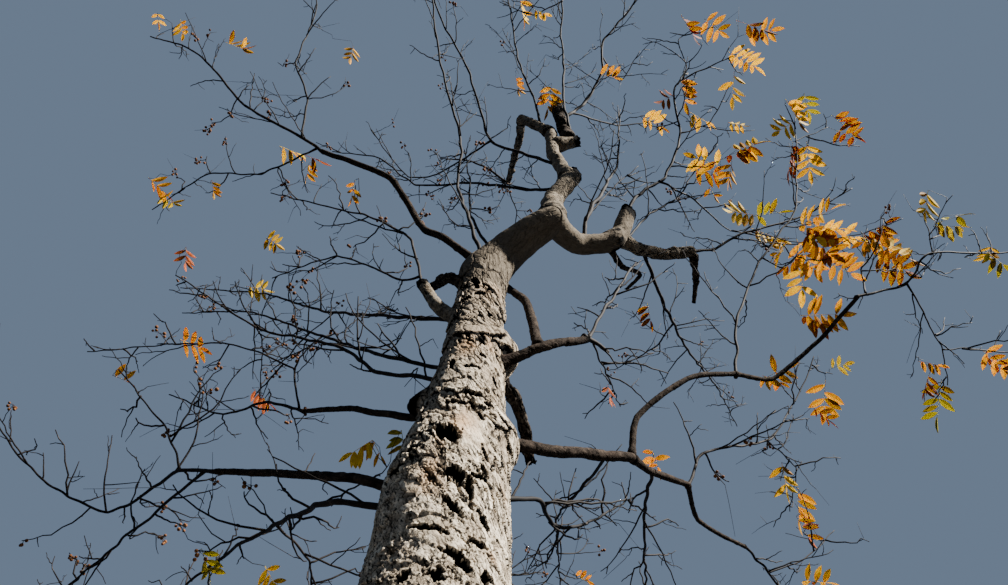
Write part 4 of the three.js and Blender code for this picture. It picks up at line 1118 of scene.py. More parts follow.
@dataclass
class LimbBark:
    """The bark of one limb: a collar where it leaves its parent, knots, crooks and its own kind of end."""

    limb: Limb
    course: Course
    buried: float
    seed: int
    spacing: float = 6.0
    flare: float = 0.34
    crook: float = 0.2
    twist: float = 0.004
    slender: float = 0.93

    def surface(self) -> tuple[Array, Marks, Array]:
        """The limb's surface as a function of length run and angle.

        The radius tapers evenly. A bell-shaped flare makes the collar, a half ball the buried root and a live
        limb's tip, low bells the knots, and the bark's relief stands on that, less on thin limbs.

        Returns:
            The surface, its marks and its middle line.
        """
        thick = self.limb.girth[0] / 2
        points, run, _ = self.course.even(max(min(self.spacing, thick / 4), 4.5))
        share = run / run[-1]
        plain = (self.limb.girth[0] * (1 - share) + self.limb.girth[1] * share) / 2 * self.slender
        clear = np.maximum(run - self.buried, 0)
        radius = plain * (1 + self.flare * np.exp(-((clear / (1.5 * thick)) ** 2)))
        root = np.sqrt(np.clip(1 - np.clip((self.buried - run) / max(self.buried, 1), 0, 0.98) ** 2, 0.04, 1))
        radius = radius * root
        if self.limb.ending is Ending.LIVE:
            left = np.clip((run - (run[-1] - plain[-1])) / plain[-1], 0, 0.985)
            radius = radius * np.sqrt(1 - left**2)
        loose = np.clip(clear / 120, 0, 1) * np.clip((run[-1] - run) / 120, 0, 1)
        stray = drift(np.stack([run / 130, 0 * run, 0 * run], axis=-1), np.array([0, 5, 0]), self.seed)
        points = points + stray * (min(self.crook * thick, 6.0) * loose)[:, None]
        columns = int(np.clip(2 * pi * thick / 5.0, 16, 84))
        angle, outward = ways_out(points, columns)
        wide, even, upward = spread(columns, radius, plain, run + 977.0 * self.seed)
        turned = angle + self.twist * run[:, None]
        spots = np.stack([even * np.cos(turned), even * np.sin(turned), upward], axis=-1)
        old = float(np.clip((thick - 14) / 45, 0, 1))
        rough = self.limb.rough
        bark = Bark(9 + 6 * old, 24 + 14 * old, 42, 1.9, 0.12 + 0.3 * old + 0.35 * rough,
                    min(0.35 + 0.65 * rough, 1), 0.12 * old + 0.3 * rough, 7 + self.seed)
        relief, groove_and_shade, tone = bark.at(spots, np.zeros(wide.shape))
        swell = (0.08 + 0.16 * rough) * even * noise(spots / (1.3 * thick + 12), self.seed + 5)
        tight = radius / plain
        skin = wide + (relief + swell + self.knots(run, angle, even)) * np.minimum(tight, 1)[:, None]
        skin = np.maximum(skin, 0.15 * wide)
        surface = points[:, None] + skin[..., None] * outward
        warm = 0.4 * fade(noise(spots / 60, self.seed + 8), 0.4, 0.8)
        # A ragged crease where the limb leaves its parent, painted dark: partly its own dark, partly painted
        # shade.
        ragged = run[:, None] - self.buried + 9 * noise(spots / 12, self.seed + 9)
        crease_shade = fade(ragged, 0.5 * thick, 0.1 * thick) * fade(noise(spots / 30, self.seed + 10), -0.4, 0.3)
        marks = {"groove_and_shade": np.maximum(groove_and_shade, 0.5 * crease_shade), "tone": tone, "warm": warm,
                 "calm": np.zeros(wide.shape), GROWN: spots * MM}
        return surface, marks, points

    def knots(self, run: Array, angle: Array, even: Array) -> Array:
        """Round knots at drawn places, as wide as half the limb: closer and higher on rough limbs.

        Args:
            run: Each ring's length run from the foot.
            angle: Each point's angle around the limb.
            even: The plain radius at each point.

        Returns:
            How far each point stands out.
        """
        draw = np.random.default_rng(500 + self.seed)
        total = np.zeros(even.shape)
        spacing, rise = 150 - 90 * min(self.limb.rough, 1), 0.16 + 0.2 * self.limb.rough
        for spot in np.arange(self.buried + 50, run[-1] - 15, spacing):
            where = spot + draw.uniform(-0.4, 0.4) * spacing
            turn = draw.uniform(0, 2 * pi)
            size = draw.uniform(0.45, 0.8) * even[0, 0]
            apart = np.arctan2(np.sin(angle - turn), np.cos(angle - turn))
            away = ((run[:, None] - where) / size) ** 2 + (apart * even / size) ** 2
            total = total + draw.uniform(0.4, 1.3) * rise * even * np.exp(-away)
        return total

    def build(self, material: Material) -> None:
        """Makes the limb's one piece.

        Args:
            material: The bark or dead wood that covers it.
        """
        surface, marks, points = self.surface()
        if self.limb.ending is not Ending.LIVE:
            ragged = 0.8 if self.limb.ending is Ending.BROKEN else 0.3
            faces = None if self.limb.cut is None else direction(*self.limb.cut)
            surface, marks = hollow_end(surface, marks, points, ragged * self.limb.girth[1], faces)
        shape = Shape()
        add_grid(shape, surface, marks, points[0], surface[-1].mean(axis=0))
        slot = "dead_wood" if self.limb.dead else "bark"
        shape.to_piece(f"{self.limb.name}_bark", material, slot, self.limb.name)


@dataclass
class Chance:
    """A repeatable run of numbers from 0 to 1, one for each mass, stem and twig, as the solids draw them."""

    places: tuple[int, ...]
    state: int = 1

    def __post_init__(self) -> None:
        """Folds the places into the first state and passes over four numbers."""
        for place in self.places:
            self.state = (self.state * 613 + place + 1) % 2147483647
        self.state = (self.state * 104729) % 2147483647
        for _ in range(4):
            self.following()

    def following(self) -> float:
        """The next number."""
        self.state = (self.state * 48271) % 2147483647
        return self.state / 2147483647

    def between(self, low: float, high: float) -> float:
        """The next number, spread from low to high."""
        return low + (high - low) * self.following()


@dataclass
class Space:
    """Every round segment already placed, by the part that owns it."""

    owners: list[str] = field(default_factory=list)
    starts: list[Array] = field(default_factory=list)
    ends: list[Array] = field(default_factory=list)
    radii: list[float] = field(default_factory=list)

    def place(self, owner: str, course: Array, radius: Array) -> None:
        """Takes up the space along a course, given its radius at each point.

        Args:
            owner: The node that it belongs to.
            course: Its joints.
            radius: Its radius at each joint.
        """
        self.owners += [owner] * (len(course) - 1)
        self.starts += list(course[:-1])
        self.ends += list(course[1:])
        self.radii += list(np.maximum(radius[:-1], radius[1:]))

    def is_clear(self, owner: str, course: Array, radius: float) -> bool:
        """Whether a course keeps clear of every part but its owner.

        Args:
            owner: The node that it would belong to.
            course: Its joints.
            radius: Its radius.

        Returns:
            Whether it touches nothing.
        """
        others = np.array([name != owner for name in self.owners])
        starts, ends = np.array(self.starts)[others], np.array(self.ends)[others]
        needed = np.array(self.radii)[others] + radius + TWIG_CLEARANCE
        return all((self.distance(start, end, starts, ends) > needed).all()
                   for start, end in zip(course[:-1], course[1:]))

    def distance(self, start: Array, end: Array, starts: Array, ends: Array) -> Array:
        """The shortest distances between one straight segment and many.

        Args:
            start: Where the one segment starts.
            end: Where it ends.
            starts: Where the many start.
            ends: Where they end.

        Returns:
            The distance to each of the many.
        """
        a, b, between = end - start, ends - starts, start - starts
        aa, bb = a @ a, np.sum(b * b, axis=1)
        ab, ac, bc = b @ a, between @ a, np.sum(b * between, axis=1)
        opening = aa * bb - ab * ab
        flat = opening <= 1e-9
        s = np.where(flat, 0, np.clip((ab * bc - ac * bb) / np.where(flat, 1, opening), 0, 1))
        t = np.clip((ab * s + bc) / bb, 0, 1)
        s = np.clip((ab * t - ac) / aa, 0, 1)
        return np.linalg.norm(start + s[:, None] * a - starts - t[:, None] * b, axis=1)


@dataclass(frozen=True)
class Habit:
    """How one order of shoots grows: diameters, legs and sides, then spacing, lengths, angle and bends."""

    girth: Pair
    legs: int
    sides: int
    spacing: float = 0.0
    longest: float = 0.0
    shortest: float = 0.0
    leave: float = 0.0
    zigzag: float = 0.0
    crook: float = 0.0
    lift: float = 0.0


RULE_TWIGS = Habit((9.0, 4.4), 7, 5)
LINK_TWIGS = Habit((3.6, 2.2), 4, 3)
SIDE_TWIGS = Habit((8.4, 4.2), 9, 5, 165, 640, 140, 46, 0.22, 0.15, 0.07)
SPURS = Habit((5.2, 3.2), 5, 4, 170, 230, 60, 52, 0.28, 0.2, 0.05)
SPUR_TIPS = Habit((3.8, 2.6), 3, 3, 100, 110, 35, 56, 0.28, 0.2, 0.04)
LEAFSTALKS = Habit((2.8, 1.6), 3, 3, 0, 260, 110, 42, 0.02, 0.03, 0)


@dataclass
class Shoots:
    """Many shoots of one order: their courses as (shoot, joint, xyz) and the mass that each belongs to."""

    courses: Array
    mass: Array
    habit: Habit

    def keep(self, mask: Array) -> "Shoots":
        """The shoots that a mask keeps."""
        return Shoots(self.courses[mask], self.mass[mask], self.habit)


def sprout(roots: Array, along: Array, share: Array, mass: Array, habit: Habit, draw: Generator) -> Shoots:
    """Grows one crooked shoot from each root.

    A shoot leaves its parent at the habit's angle on a drawn side. At each joint it swings to one side and
    then to the other in one plane, strays a little and lifts.

    Args:
        roots: Where the shoots start.
        along: The parent's direction there.
        share: How far along its parent each stands, which shortens it.
        mass: The number of the mass that each belongs to.
        habit: How they grow.
        draw: The source of chance.

    Returns:
        The grown shoots.
    """
    count = len(roots)
    reference = np.where(np.abs(along[:, 2:3]) > 0.9, np.array([[1.0, 0, 0]]), UP[None])
    side = unit(np.cross(along, reference))
    across = np.cross(along, side)
    spin = draw.uniform(0, 2 * pi, (count, 1))
    outward = side * np.cos(spin) + across * np.sin(spin)
    leave = np.radians(habit.leave + draw.uniform(-16, 16, (count, 1)))
    heading = unit(along * np.cos(leave) + outward * np.sin(leave) + UP * TWIG_UPLIFT * 0.6)
    plane = unit(np.cross(heading, draw.normal(size=(count, 3))))
    length = (habit.longest + (habit.shortest - habit.longest) * share) * draw.uniform(0.35, 1.1, count)
    course = [roots]
    for joint in range(habit.legs):
        swing = habit.zigzag * (1 if joint % 2 else -1) * plane
        heading = unit(heading + swing + habit.crook * draw.normal(size=(count, 3)) * 0.6 + UP * habit.lift)
        course.append(course[-1] + heading * (length / habit.legs)[:, None])
    return Shoots(np.stack(course, axis=1), mass, habit)


def offshoots(parents: Shoots, habit: Habit, draw: Generator, first: float = 0.15) -> Shoots:
    """Grows the next order of shoots along each parent at the habit's spacing.

    Args:
        parents: The shoots that they grow from.
        habit: How they grow.
        draw: The source of chance.
        first: The share of the parent that stays bare at its foot.

    Returns:
        The grown shoots.
    """
    lengths = np.linalg.norm(np.diff(parents.courses, axis=1), axis=2).sum(axis=1)
    counts = np.maximum(np.round(lengths / habit.spacing).astype(int), 1)
    parent = np.repeat(np.arange(len(counts)), counts)
    number = np.arange(counts.sum()) - np.repeat(np.cumsum(counts) - counts, counts)
    share = first + (1 - first) * (number + draw.uniform(0.15, 0.85, len(number))) / counts[parent]
    legs = parents.courses.shape[1] - 1
    leg = np.minimum((share * legs).astype(int), legs - 1)
    weight = (share * legs - leg)[:, None]
    start, end = parents.courses[parent, leg], parents.courses[parent, leg + 1]
    return sprout(start + weight * (end - start), unit(end - start), share, parents.mass[parent], habit, draw)


@dataclass
class Camera:
    """The photograph's viewpoint: a wide lens near the trunk that looks steeply up."""

    eye: tuple[float, float, float] = (170.0, -1200.0, 1500.0)
    tilt: float = 70.0
    lens: float = 28.0
    film: float = 36.0
    wide: int = 1008
    high: int = 585
    nearest: float = 200.0

    def axes(self) -> Array:
        """The camera's right, up and forward directions as rows."""
        up, level = sin(radians(self.tilt)), cos(radians(self.tilt))
        return np.array([[1, 0, 0], [0, -up, level], [0, level, up]])

    def focal(self) -> float:
        """The focal length in picture pixels."""
        return self.lens / self.film * self.wide

    def project(self, points: Array) -> Array:
        """Picture x, picture y and depth of each point.

        Args:
            points: Points in millimetres.

        Returns:
            The three, which are not numbers for a point behind the camera.
        """
        seen = (points - self.eye) @ self.axes().T
        deep = np.where(seen[..., 2] > self.nearest, seen[..., 2], np.nan)
        return np.stack([self.wide / 2 + self.focal() * seen[..., 0] / deep,
                         self.high / 2 - self.focal() * seen[..., 1] / deep, deep], axis=-1)

    def sees(self, point: Array, margin: float = 25.0) -> bool:
        """Whether a point lies in the picture, whose own sprays are listed, or just beside it."""
        x, y, _ = self.project(point)
        return -margin < x < self.wide + margin and -margin < y < self.high + margin

    def point(self, x: float, y: float, depth: float) -> Array:
        """The point at a picture place and a depth."""
        right, up, forward = self.axes()
        ray = forward + (x - self.wide / 2) / self.focal() * right - (y - self.high / 2) / self.focal() * up
        return self.eye + ray * depth

    def build(self) -> None:
        """Makes the scene's camera."""
        data = bpy.data.cameras.new("camera")
        data.lens, data.sensor_width, data.sensor_fit = self.lens, self.film, "HORIZONTAL"
        data.clip_start, data.clip_end = 0.05, 200
        camera = linked("camera", data)
        camera.location = np.array(self.eye) * MM
        camera.rotation_euler = (radians(90 + self.tilt), 0, 0)
        bpy.context.scene.camera = camera


@dataclass
class Crown:
    """The masses of twigs, leaves and fruit, grown by the solids' rule and carried to finer twigs."""

    courses: dict[str, Course]
    limb_radii: dict[str, float]
    space: Space
    box: Array
    camera: Camera
    seed: int = 2026
    reach: float = 140.0
    stem_knee: float = 0.5
    slender: Pair = (0.7, 0.72)
    tint_shares: tuple[float, ...] = (0.4, 0.24, 0.14, 0.06, 0.1, 0.06)
    stems: list[list[Course]] = field(default_factory=list)
    twigs: list[Array] = field(default_factory=list)
    twig_mass: list[int] = field(default_factory=list)
    leafy: list[tuple[Array, Array]] = field(default_factory=list)
    fruiting: list[Array] = field(default_factory=list)

    def grow_rule(self) -> None:
        """Grows stems, twigs, leaf places and fruit places just as the solids do, in the same order."""
        for mass in MASSES:
            self.stems.append(self.stem_courses(mass))
        for mass, stems in zip(MASSES, self.stems):
            for stem, course in zip(mass.stems, stems):
                radius = np.linspace(stem.girth[0], stem.girth[1], len(course.joints)) / 2
                self.space.place(mass.name, course.joints, radius)
        for index, mass in enumerate(MASSES):
            grown = [twig for number, stem in enumerate(self.stems[index])
                     for twig in self.twigs_of(mass, index, stem, number)]
            for course, chance in grown:
                self.twigs.append(course)
                self.twig_mass.append(index)
                self.hang(mass, course, chance)
        log.info("rule: %d twigs, %d sprays", len(self.twigs), len(self.leafy))

    def stem_courses(self, mass: Mass) -> list[Course]:
        """The courses of a mass's stems: the first from its parent, the others from forks on earlier ones.

        Args:
            mass: The mass of twigs.

        Returns:
            One course for each stem.
        """
        stems: list[Course] = []
        for stem in mass.stems:
            if stems:
                start = stems[stem.on].solid_point(stem.at)
            else:
                start = root_of(self.courses[mass.parent], mass.where, stem.legs)
            stems.append(Course(walk(start, stem.legs), 1, self.stem_knee))
        return stems

    def twigs_of(self, mass: Mass, index: int, stem: Course, number: int) -> list[tuple[Array, Chance]]:
        """One stem's twigs that keep clear of every other part, each with its run of chance.

        Args:
            mass: The mass of twigs that the stem belongs to.
            index: The mass's number.
            stem: The stem's course.
            number: The stem's number in its mass.

        Returns:
            Each twig's joints and its chance.
        """
        count = max(int(stem.reach[-1] / TWIG_SPACING + 0.5), 1)
        kept = []
        for place in range(count):
            chance = Chance((index, number, place))
            step = (place + chance.between(*STRAY_SHARE)) / count
            share = min(FIRST_SHARE + (1 - FIRST_SHARE) * step, LAST_SHARE)
            course = self.twig_course(stem, share, place, chance)
            if not self.space.is_clear(mass.name, course, TWIG_GIRTH / 2):
                continue
            self.space.place(mass.name, course, np.full(len(course), TWIG_GIRTH / 2))
            kept.append((course + (stem.point(share) - course[0]), chance))
        return kept

    def twig_course(self, stem: Course, share: float, number: int, chance: Chance) -> Array:
        """A twig's course: it leaves at an angle, turned on by the golden angle, and zigzags upwards.

        Args:
            stem: The stem that carries it.
            share: How far along the stem it grows.
            number: Which of the stem's twigs it is.
            chance: Its run of chance.

        Returns:
            Its joints.
        """
        along = stem.solid_direction(share)
        spin = radians(TWIG_TURN * number + chance.between(-STRAY_TURN, STRAY_TURN))
        leave = radians(TWIG_LEAVE + chance.between(-STRAY_LEAVE, STRAY_LEAVE))
        length = (TWIG_LONGEST + (TWIG_SHORTEST - TWIG_LONGEST) * share) * chance.between(*STRAY_LENGTH)
        _, side, across = (each[0, 0] for each in frames(np.array([[np.zeros(3), along]])))
        outward = side * cos(spin) + across * sin(spin)
        heading = along * cos(leave) + outward * sin(leave)
        heading = unit(heading + UP * TWIG_UPLIFT)
        bend = unit(np.cross(heading, along))
        course = [stem.solid_point(share)]
        for joint in range(TWIG_JOINTS + 1):
            swing = radians((1 if joint % 2 else -1) * chance.between(0.5, 1) * TWIG_ZIGZAG)
            leg = heading * cos(swing) + np.cross(bend, heading) * sin(swing)
            course.append(course[-1] + leg * length / (TWIG_JOINTS + 1))
        return np.array(course)

    def hang(self, mass: Mass, course: Array, chance: Chance) -> None:
        """Adds the leaf and fruit places that one twig holds, each where its own space is clear.

        Args:
            mass: The mass that it belongs to.
            course: Its joints.
            chance: Its run of chance.
        """
        for i in range(1, len(course)):
            along = unit(course[i] - course[i - 1])
            draw = chance.following()
            leafy = draw < mass.leaves
            if not leafy and draw >= mass.leaves + mass.fruit:
                continue
            lean = [chance.between(-HANG_LEAN, HANG_LEAN), chance.between(-HANG_LEAN, HANG_LEAN)]
            heading = unit(along + np.array([*lean, -HANG_DROOP - chance.between(0, STRAY_DROOP)]))
            length, radius = (LEAF_LENGTH, LEAF_WIDTH / 2) if leafy else (FRUIT_DIAMETER, FRUIT_DIAMETER / 2)
            hanging = np.array([course[i], course[i] + heading * length])
            if not self.space.is_clear(mass.name, hanging, radius):
                continue
            self.space.place(mass.name, hanging, np.full(2, radius))
            if leafy:
                chance.following()
                self.leafy.append((course[i], heading))
            else:
                self.fruiting.append(course[i])

    def inside(self, courses: Array, mass: Array) -> Array:
        """Which courses keep within the reach of their mass and of the whole tree.

        Args:
            courses: The courses as (course, joint, xyz).
            mass: The number of each one's mass.

        Returns:
            True for each course that does.
        """
        low = np.array([np.array(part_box(each.name)[0]) / MM - self.reach for each in MASSES])
        high = np.array([np.array(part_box(each.name)[1]) / MM + self.reach for each in MASSES])
        low, high = np.maximum(low, self.box[0]), np.minimum(high, self.box[1])
        within = (courses > low[mass][:, None]) & (courses < high[mass][:, None])
        return within.all(axis=(1, 2))

    def off_limbs(self, courses: Array) -> Array:
        """Which courses keep their last joints out of the trunk and the limbs.

        Args:
            courses: The courses as (course, joint, xyz).

        Returns:
            True for each course that does.
        """
        clear = np.ones(len(courses), dtype=bool)
        for name, course in self.courses.items():
            wide = self.limb_radii[name] + LIMB_CLEARANCE
            for start, end in zip(course.coarse[:-1], course.coarse[1:]):
                along = end - start
                step = courses[:, 1:] - start
                share = np.clip(step @ along / (along @ along), 0, 1)
                away = np.linalg.norm(step - share[..., None] * along, axis=-1)
                clear &= (away > wide).all(axis=1)
        return clear

    def build(self, bark: Material, fruit: Material, tints: dict[Tint, Material]) -> None:
        """Makes the pieces for twigs, leaves and fruit.

        Args:
            bark: The material of the twigs.
            fruit: The material of the fruit.
            tints: The material of each tint of leaf.
        """
        draw = np.random.default_rng(self.seed)
        wood = {side: Shape() for side in Side}
        self.add_stems(wood, draw)
        first = self.first_twigs(draw)
        sides = self.side_twigs(draw)
        spurs = offshoots(first, SPURS, draw)
        more = offshoots(sides, SPURS, draw)
        spurs = self.fitting(Shoots(np.concatenate([spurs.courses, more.courses]),
                                    np.concatenate([spurs.mass, more.mass]), SPURS))
        tips = self.fitting(offshoots(spurs.keep(draw.random(len(spurs.mass)) < 0.4), SPUR_TIPS, draw))
        stalks = self.leafstalks(spurs, draw)
        leaves = Foliage(draw, self.box)
        links = leaves.pictured(self.camera, [first, sides, spurs], self.stem_points())
        for joint, heading in self.leafy:
            if self.camera.sees(joint):
                continue
            pairs = int(draw.integers(2, 5))
            length = pairs * draw.uniform(44, 54) + 30
            leaves.spray(joint, heading, length, self.tint(draw), pairs, None)
        for shoots in (first, sides, spurs, tips, stalks, links):
            self.add_shoots(wood, shoots, draw)
        for side, shape in wood.items():
            names = [mass.name for mass in MASSES if mass.side is side]
            shape.to_piece(f"twigs_{side.value}", bark, "twigs", *names)
        for tint, shape in leaves.shapes.items():
            if shape.count:
                shape.to_piece(f"leaves_{tint.name.lower()}", tints[tint], "leaves")
        self.add_fruit(spurs, draw).to_piece("fruit", fruit, "twigs")

    def tint(self, draw: Generator) -> Tint:
        """A drawn tint for one spray."""
        return list(Tint)[int(draw.choice(len(Tint), p=self.tint_shares))]

    def stem_points(self) -> tuple[Array, Array]:
        """Points along every stem, and the mass that each belongs to.

        Returns:
            The points and the numbers of their masses.
        """
        points, mass = [], []
        for index, stems in enumerate(self.stems):
            for course in stems:
                even, _, _ = course.even(30)
                points.append(even)
                mass.append(np.full(len(even), index))
        return np.concatenate(points), np.concatenate(mass)

    def add_stems(self, wood: dict[Side, Shape], draw: Generator) -> None:
        """Adds the stems: smooth crooked tubes that taper evenly, with a small collar at the foot.

        Args:
            wood: The twigs' shapes by side.
            draw: The source of chance.
        """
        for mass, stems in zip(MASSES, self.stems):
            for stem, course in zip(mass.stems, stems):
                points, run, _ = course.even(22)
                share = run / run[-1]
                base, tip = np.array(stem.girth) / 2 * self.slender
                radius = base * (1 - share) + tip * share
                radius = radius * (1 + 0.35 * np.exp(-((run / 40) ** 2)))
                radius = radius * (1 + 0.06 * draw.normal(size=len(run)).clip(-1, 1.6) * (run > 60))
                loose = (np.clip(run / 80, 0, 1) * np.clip((run[-1] - run) / 60, 0, 1))[:, None]
                seed = int(draw.integers(1, 9999))
                spots = np.stack([run / 85, run * 0, run * 0 + seed], axis=-1)
                crooked = points + drift(spots, 3.3, 5) * 7 * loose
                wood[mass.side].tubes(crooked[None], radius[None], 7, tone=draw.random(1))

    def first_twigs(self, draw: Generator) -> Shoots:
        """The rule's twigs, bent into smooth crooked lines.

        Args:
            draw: The source of chance.

        Returns:
            The twigs.
        """
        courses = [curve(joints, np.linspace(0, len(joints) - 1, RULE_TWIGS.legs + 1))
                   for joints in self.twigs]
        stray = draw.normal(size=np.shape(courses)) * 5.0
        stray[:, 0] = 0
        return Shoots(courses + stray, np.array(self.twig_mass), RULE_TWIGS)

    def side_twigs(self, draw: Generator) -> Shoots:
        """Finer twigs between the rule's along every stem.

        Args:
            draw: The source of chance.

        Returns:
            The finer twigs.
        """
        roots, along, shares, mass = [], [], [], []
        for index, stems in enumerate(self.stems):
            for course in stems:
                count = max(int(course.reach[-1] / SIDE_TWIGS.spacing), 2)
                for share in (np.arange(count) + draw.uniform(0.1, 0.9, count)) / count * 0.93 + 0.06:
                    roots.append(course.point(share))
                    along.append(course.solid_direction(share))
                    shares.append(share)
                    mass.append(index)
        grown = sprout(np.array(roots), np.array(along), np.array(shares), np.array(mass), SIDE_TWIGS, draw)
        return self.fitting(grown)

    def fitting(self, shoots: Shoots) -> Shoots:
        """The shoots that stay within reach and off the limbs."""
        kept = shoots.keep(self.inside(shoots.courses, shoots.mass))
        return kept.keep(self.off_limbs(kept.courses))

    def leafstalks(self, spurs: Shoots, draw: Generator) -> Shoots:
        """Straight hair-thin stalks that stay on when their leaflets have dropped.

        Args:
            spurs: The shoots that they hang from.
            draw: The source of chance.

        Returns:
            The stalks.
        """
        chosen = spurs.keep(draw.random(len(spurs.mass)) < 0.22)
        root = chosen.courses[:, -1]
        along = unit(chosen.courses[:, -1] - chosen.courses[:, -2])
        return self.fitting(sprout(root, along, draw.random(len(root)), chosen.mass, LEAFSTALKS, draw))

    def add_shoots(self, wood: dict[Side, Shape], shoots: Shoots, draw: Generator) -> None:
        """Adds the tubes of one order of shoots to the pieces of their sides.

        Args:
            wood: The twigs' shapes by side.
            shoots: The shoots.
            draw: The source of chance.
        """
        rings = shoots.courses.shape[1]
        base, tip = shoots.habit.girth
        radius = np.linspace(base, tip, rings)[None] / 2 * draw.uniform(0.85, 1.15, (len(shoots.mass), 1))
        tone = draw.random(len(shoots.mass))
        sides = np.array([list(Side).index(mass.side) for mass in MASSES])[shoots.mass]
        for number, side in enumerate(Side):
            mine = sides == number
            wood[side].tubes(shoots.courses[mine], radius[mine], shoots.habit.sides, tone=tone[mine])

    def add_fruit(self, spurs: Shoots, draw: Generator) -> Shape:
        """Small round drupes in loose bunches: at the rule's fruiting joints and at some of the spurs.

        Args:
            spurs: The shoots that some bunches hang from.
            draw: The source of chance.

        Returns:
            The shape of all drupes and their stalks.
        """
        share = np.array([mass.fruit for mass in MASSES])[spurs.mass]
        extra = spurs.courses[draw.random(len(share)) < share * 0.5, -1]
        roots = np.concatenate([self.fruiting, extra])
        bunch = np.repeat(roots, draw.integers(3, 8, len(roots)), axis=0)
        lean = unit(draw.normal(size=bunch.shape) * np.array([1, 1, 0.6]) - UP * 0.7)
        middle = bunch + lean * draw.uniform(14, 36, (len(bunch), 1))
        size = draw.uniform(6.6, 9.2, (len(bunch), 1))
        shape = Shape()
        bend = bunch + (middle - bunch) * 0.55 + draw.normal(size=bunch.shape) * 2
        stalks = np.stack([bunch, bend, middle], axis=1)
        shape.tubes(stalks, np.full((len(bunch), 3), 0.9), 3, tone=np.zeros(len(bunch)))
        turn = np.linspace(0.28, pi - 0.28, 5)
        axis = unit(draw.normal(size=middle.shape))
        rings = middle[:, None] - axis[:, None] * size[:, None] * np.cos(turn)[None, :, None]
        shape.tubes(rings, size * np.sin(turn)[None], 8, tone=0.3 + 0.7 * draw.random(len(bunch)))
        log.info("fruit: %d drupes in %d bunches", len(bunch), len(roots))
        return shape


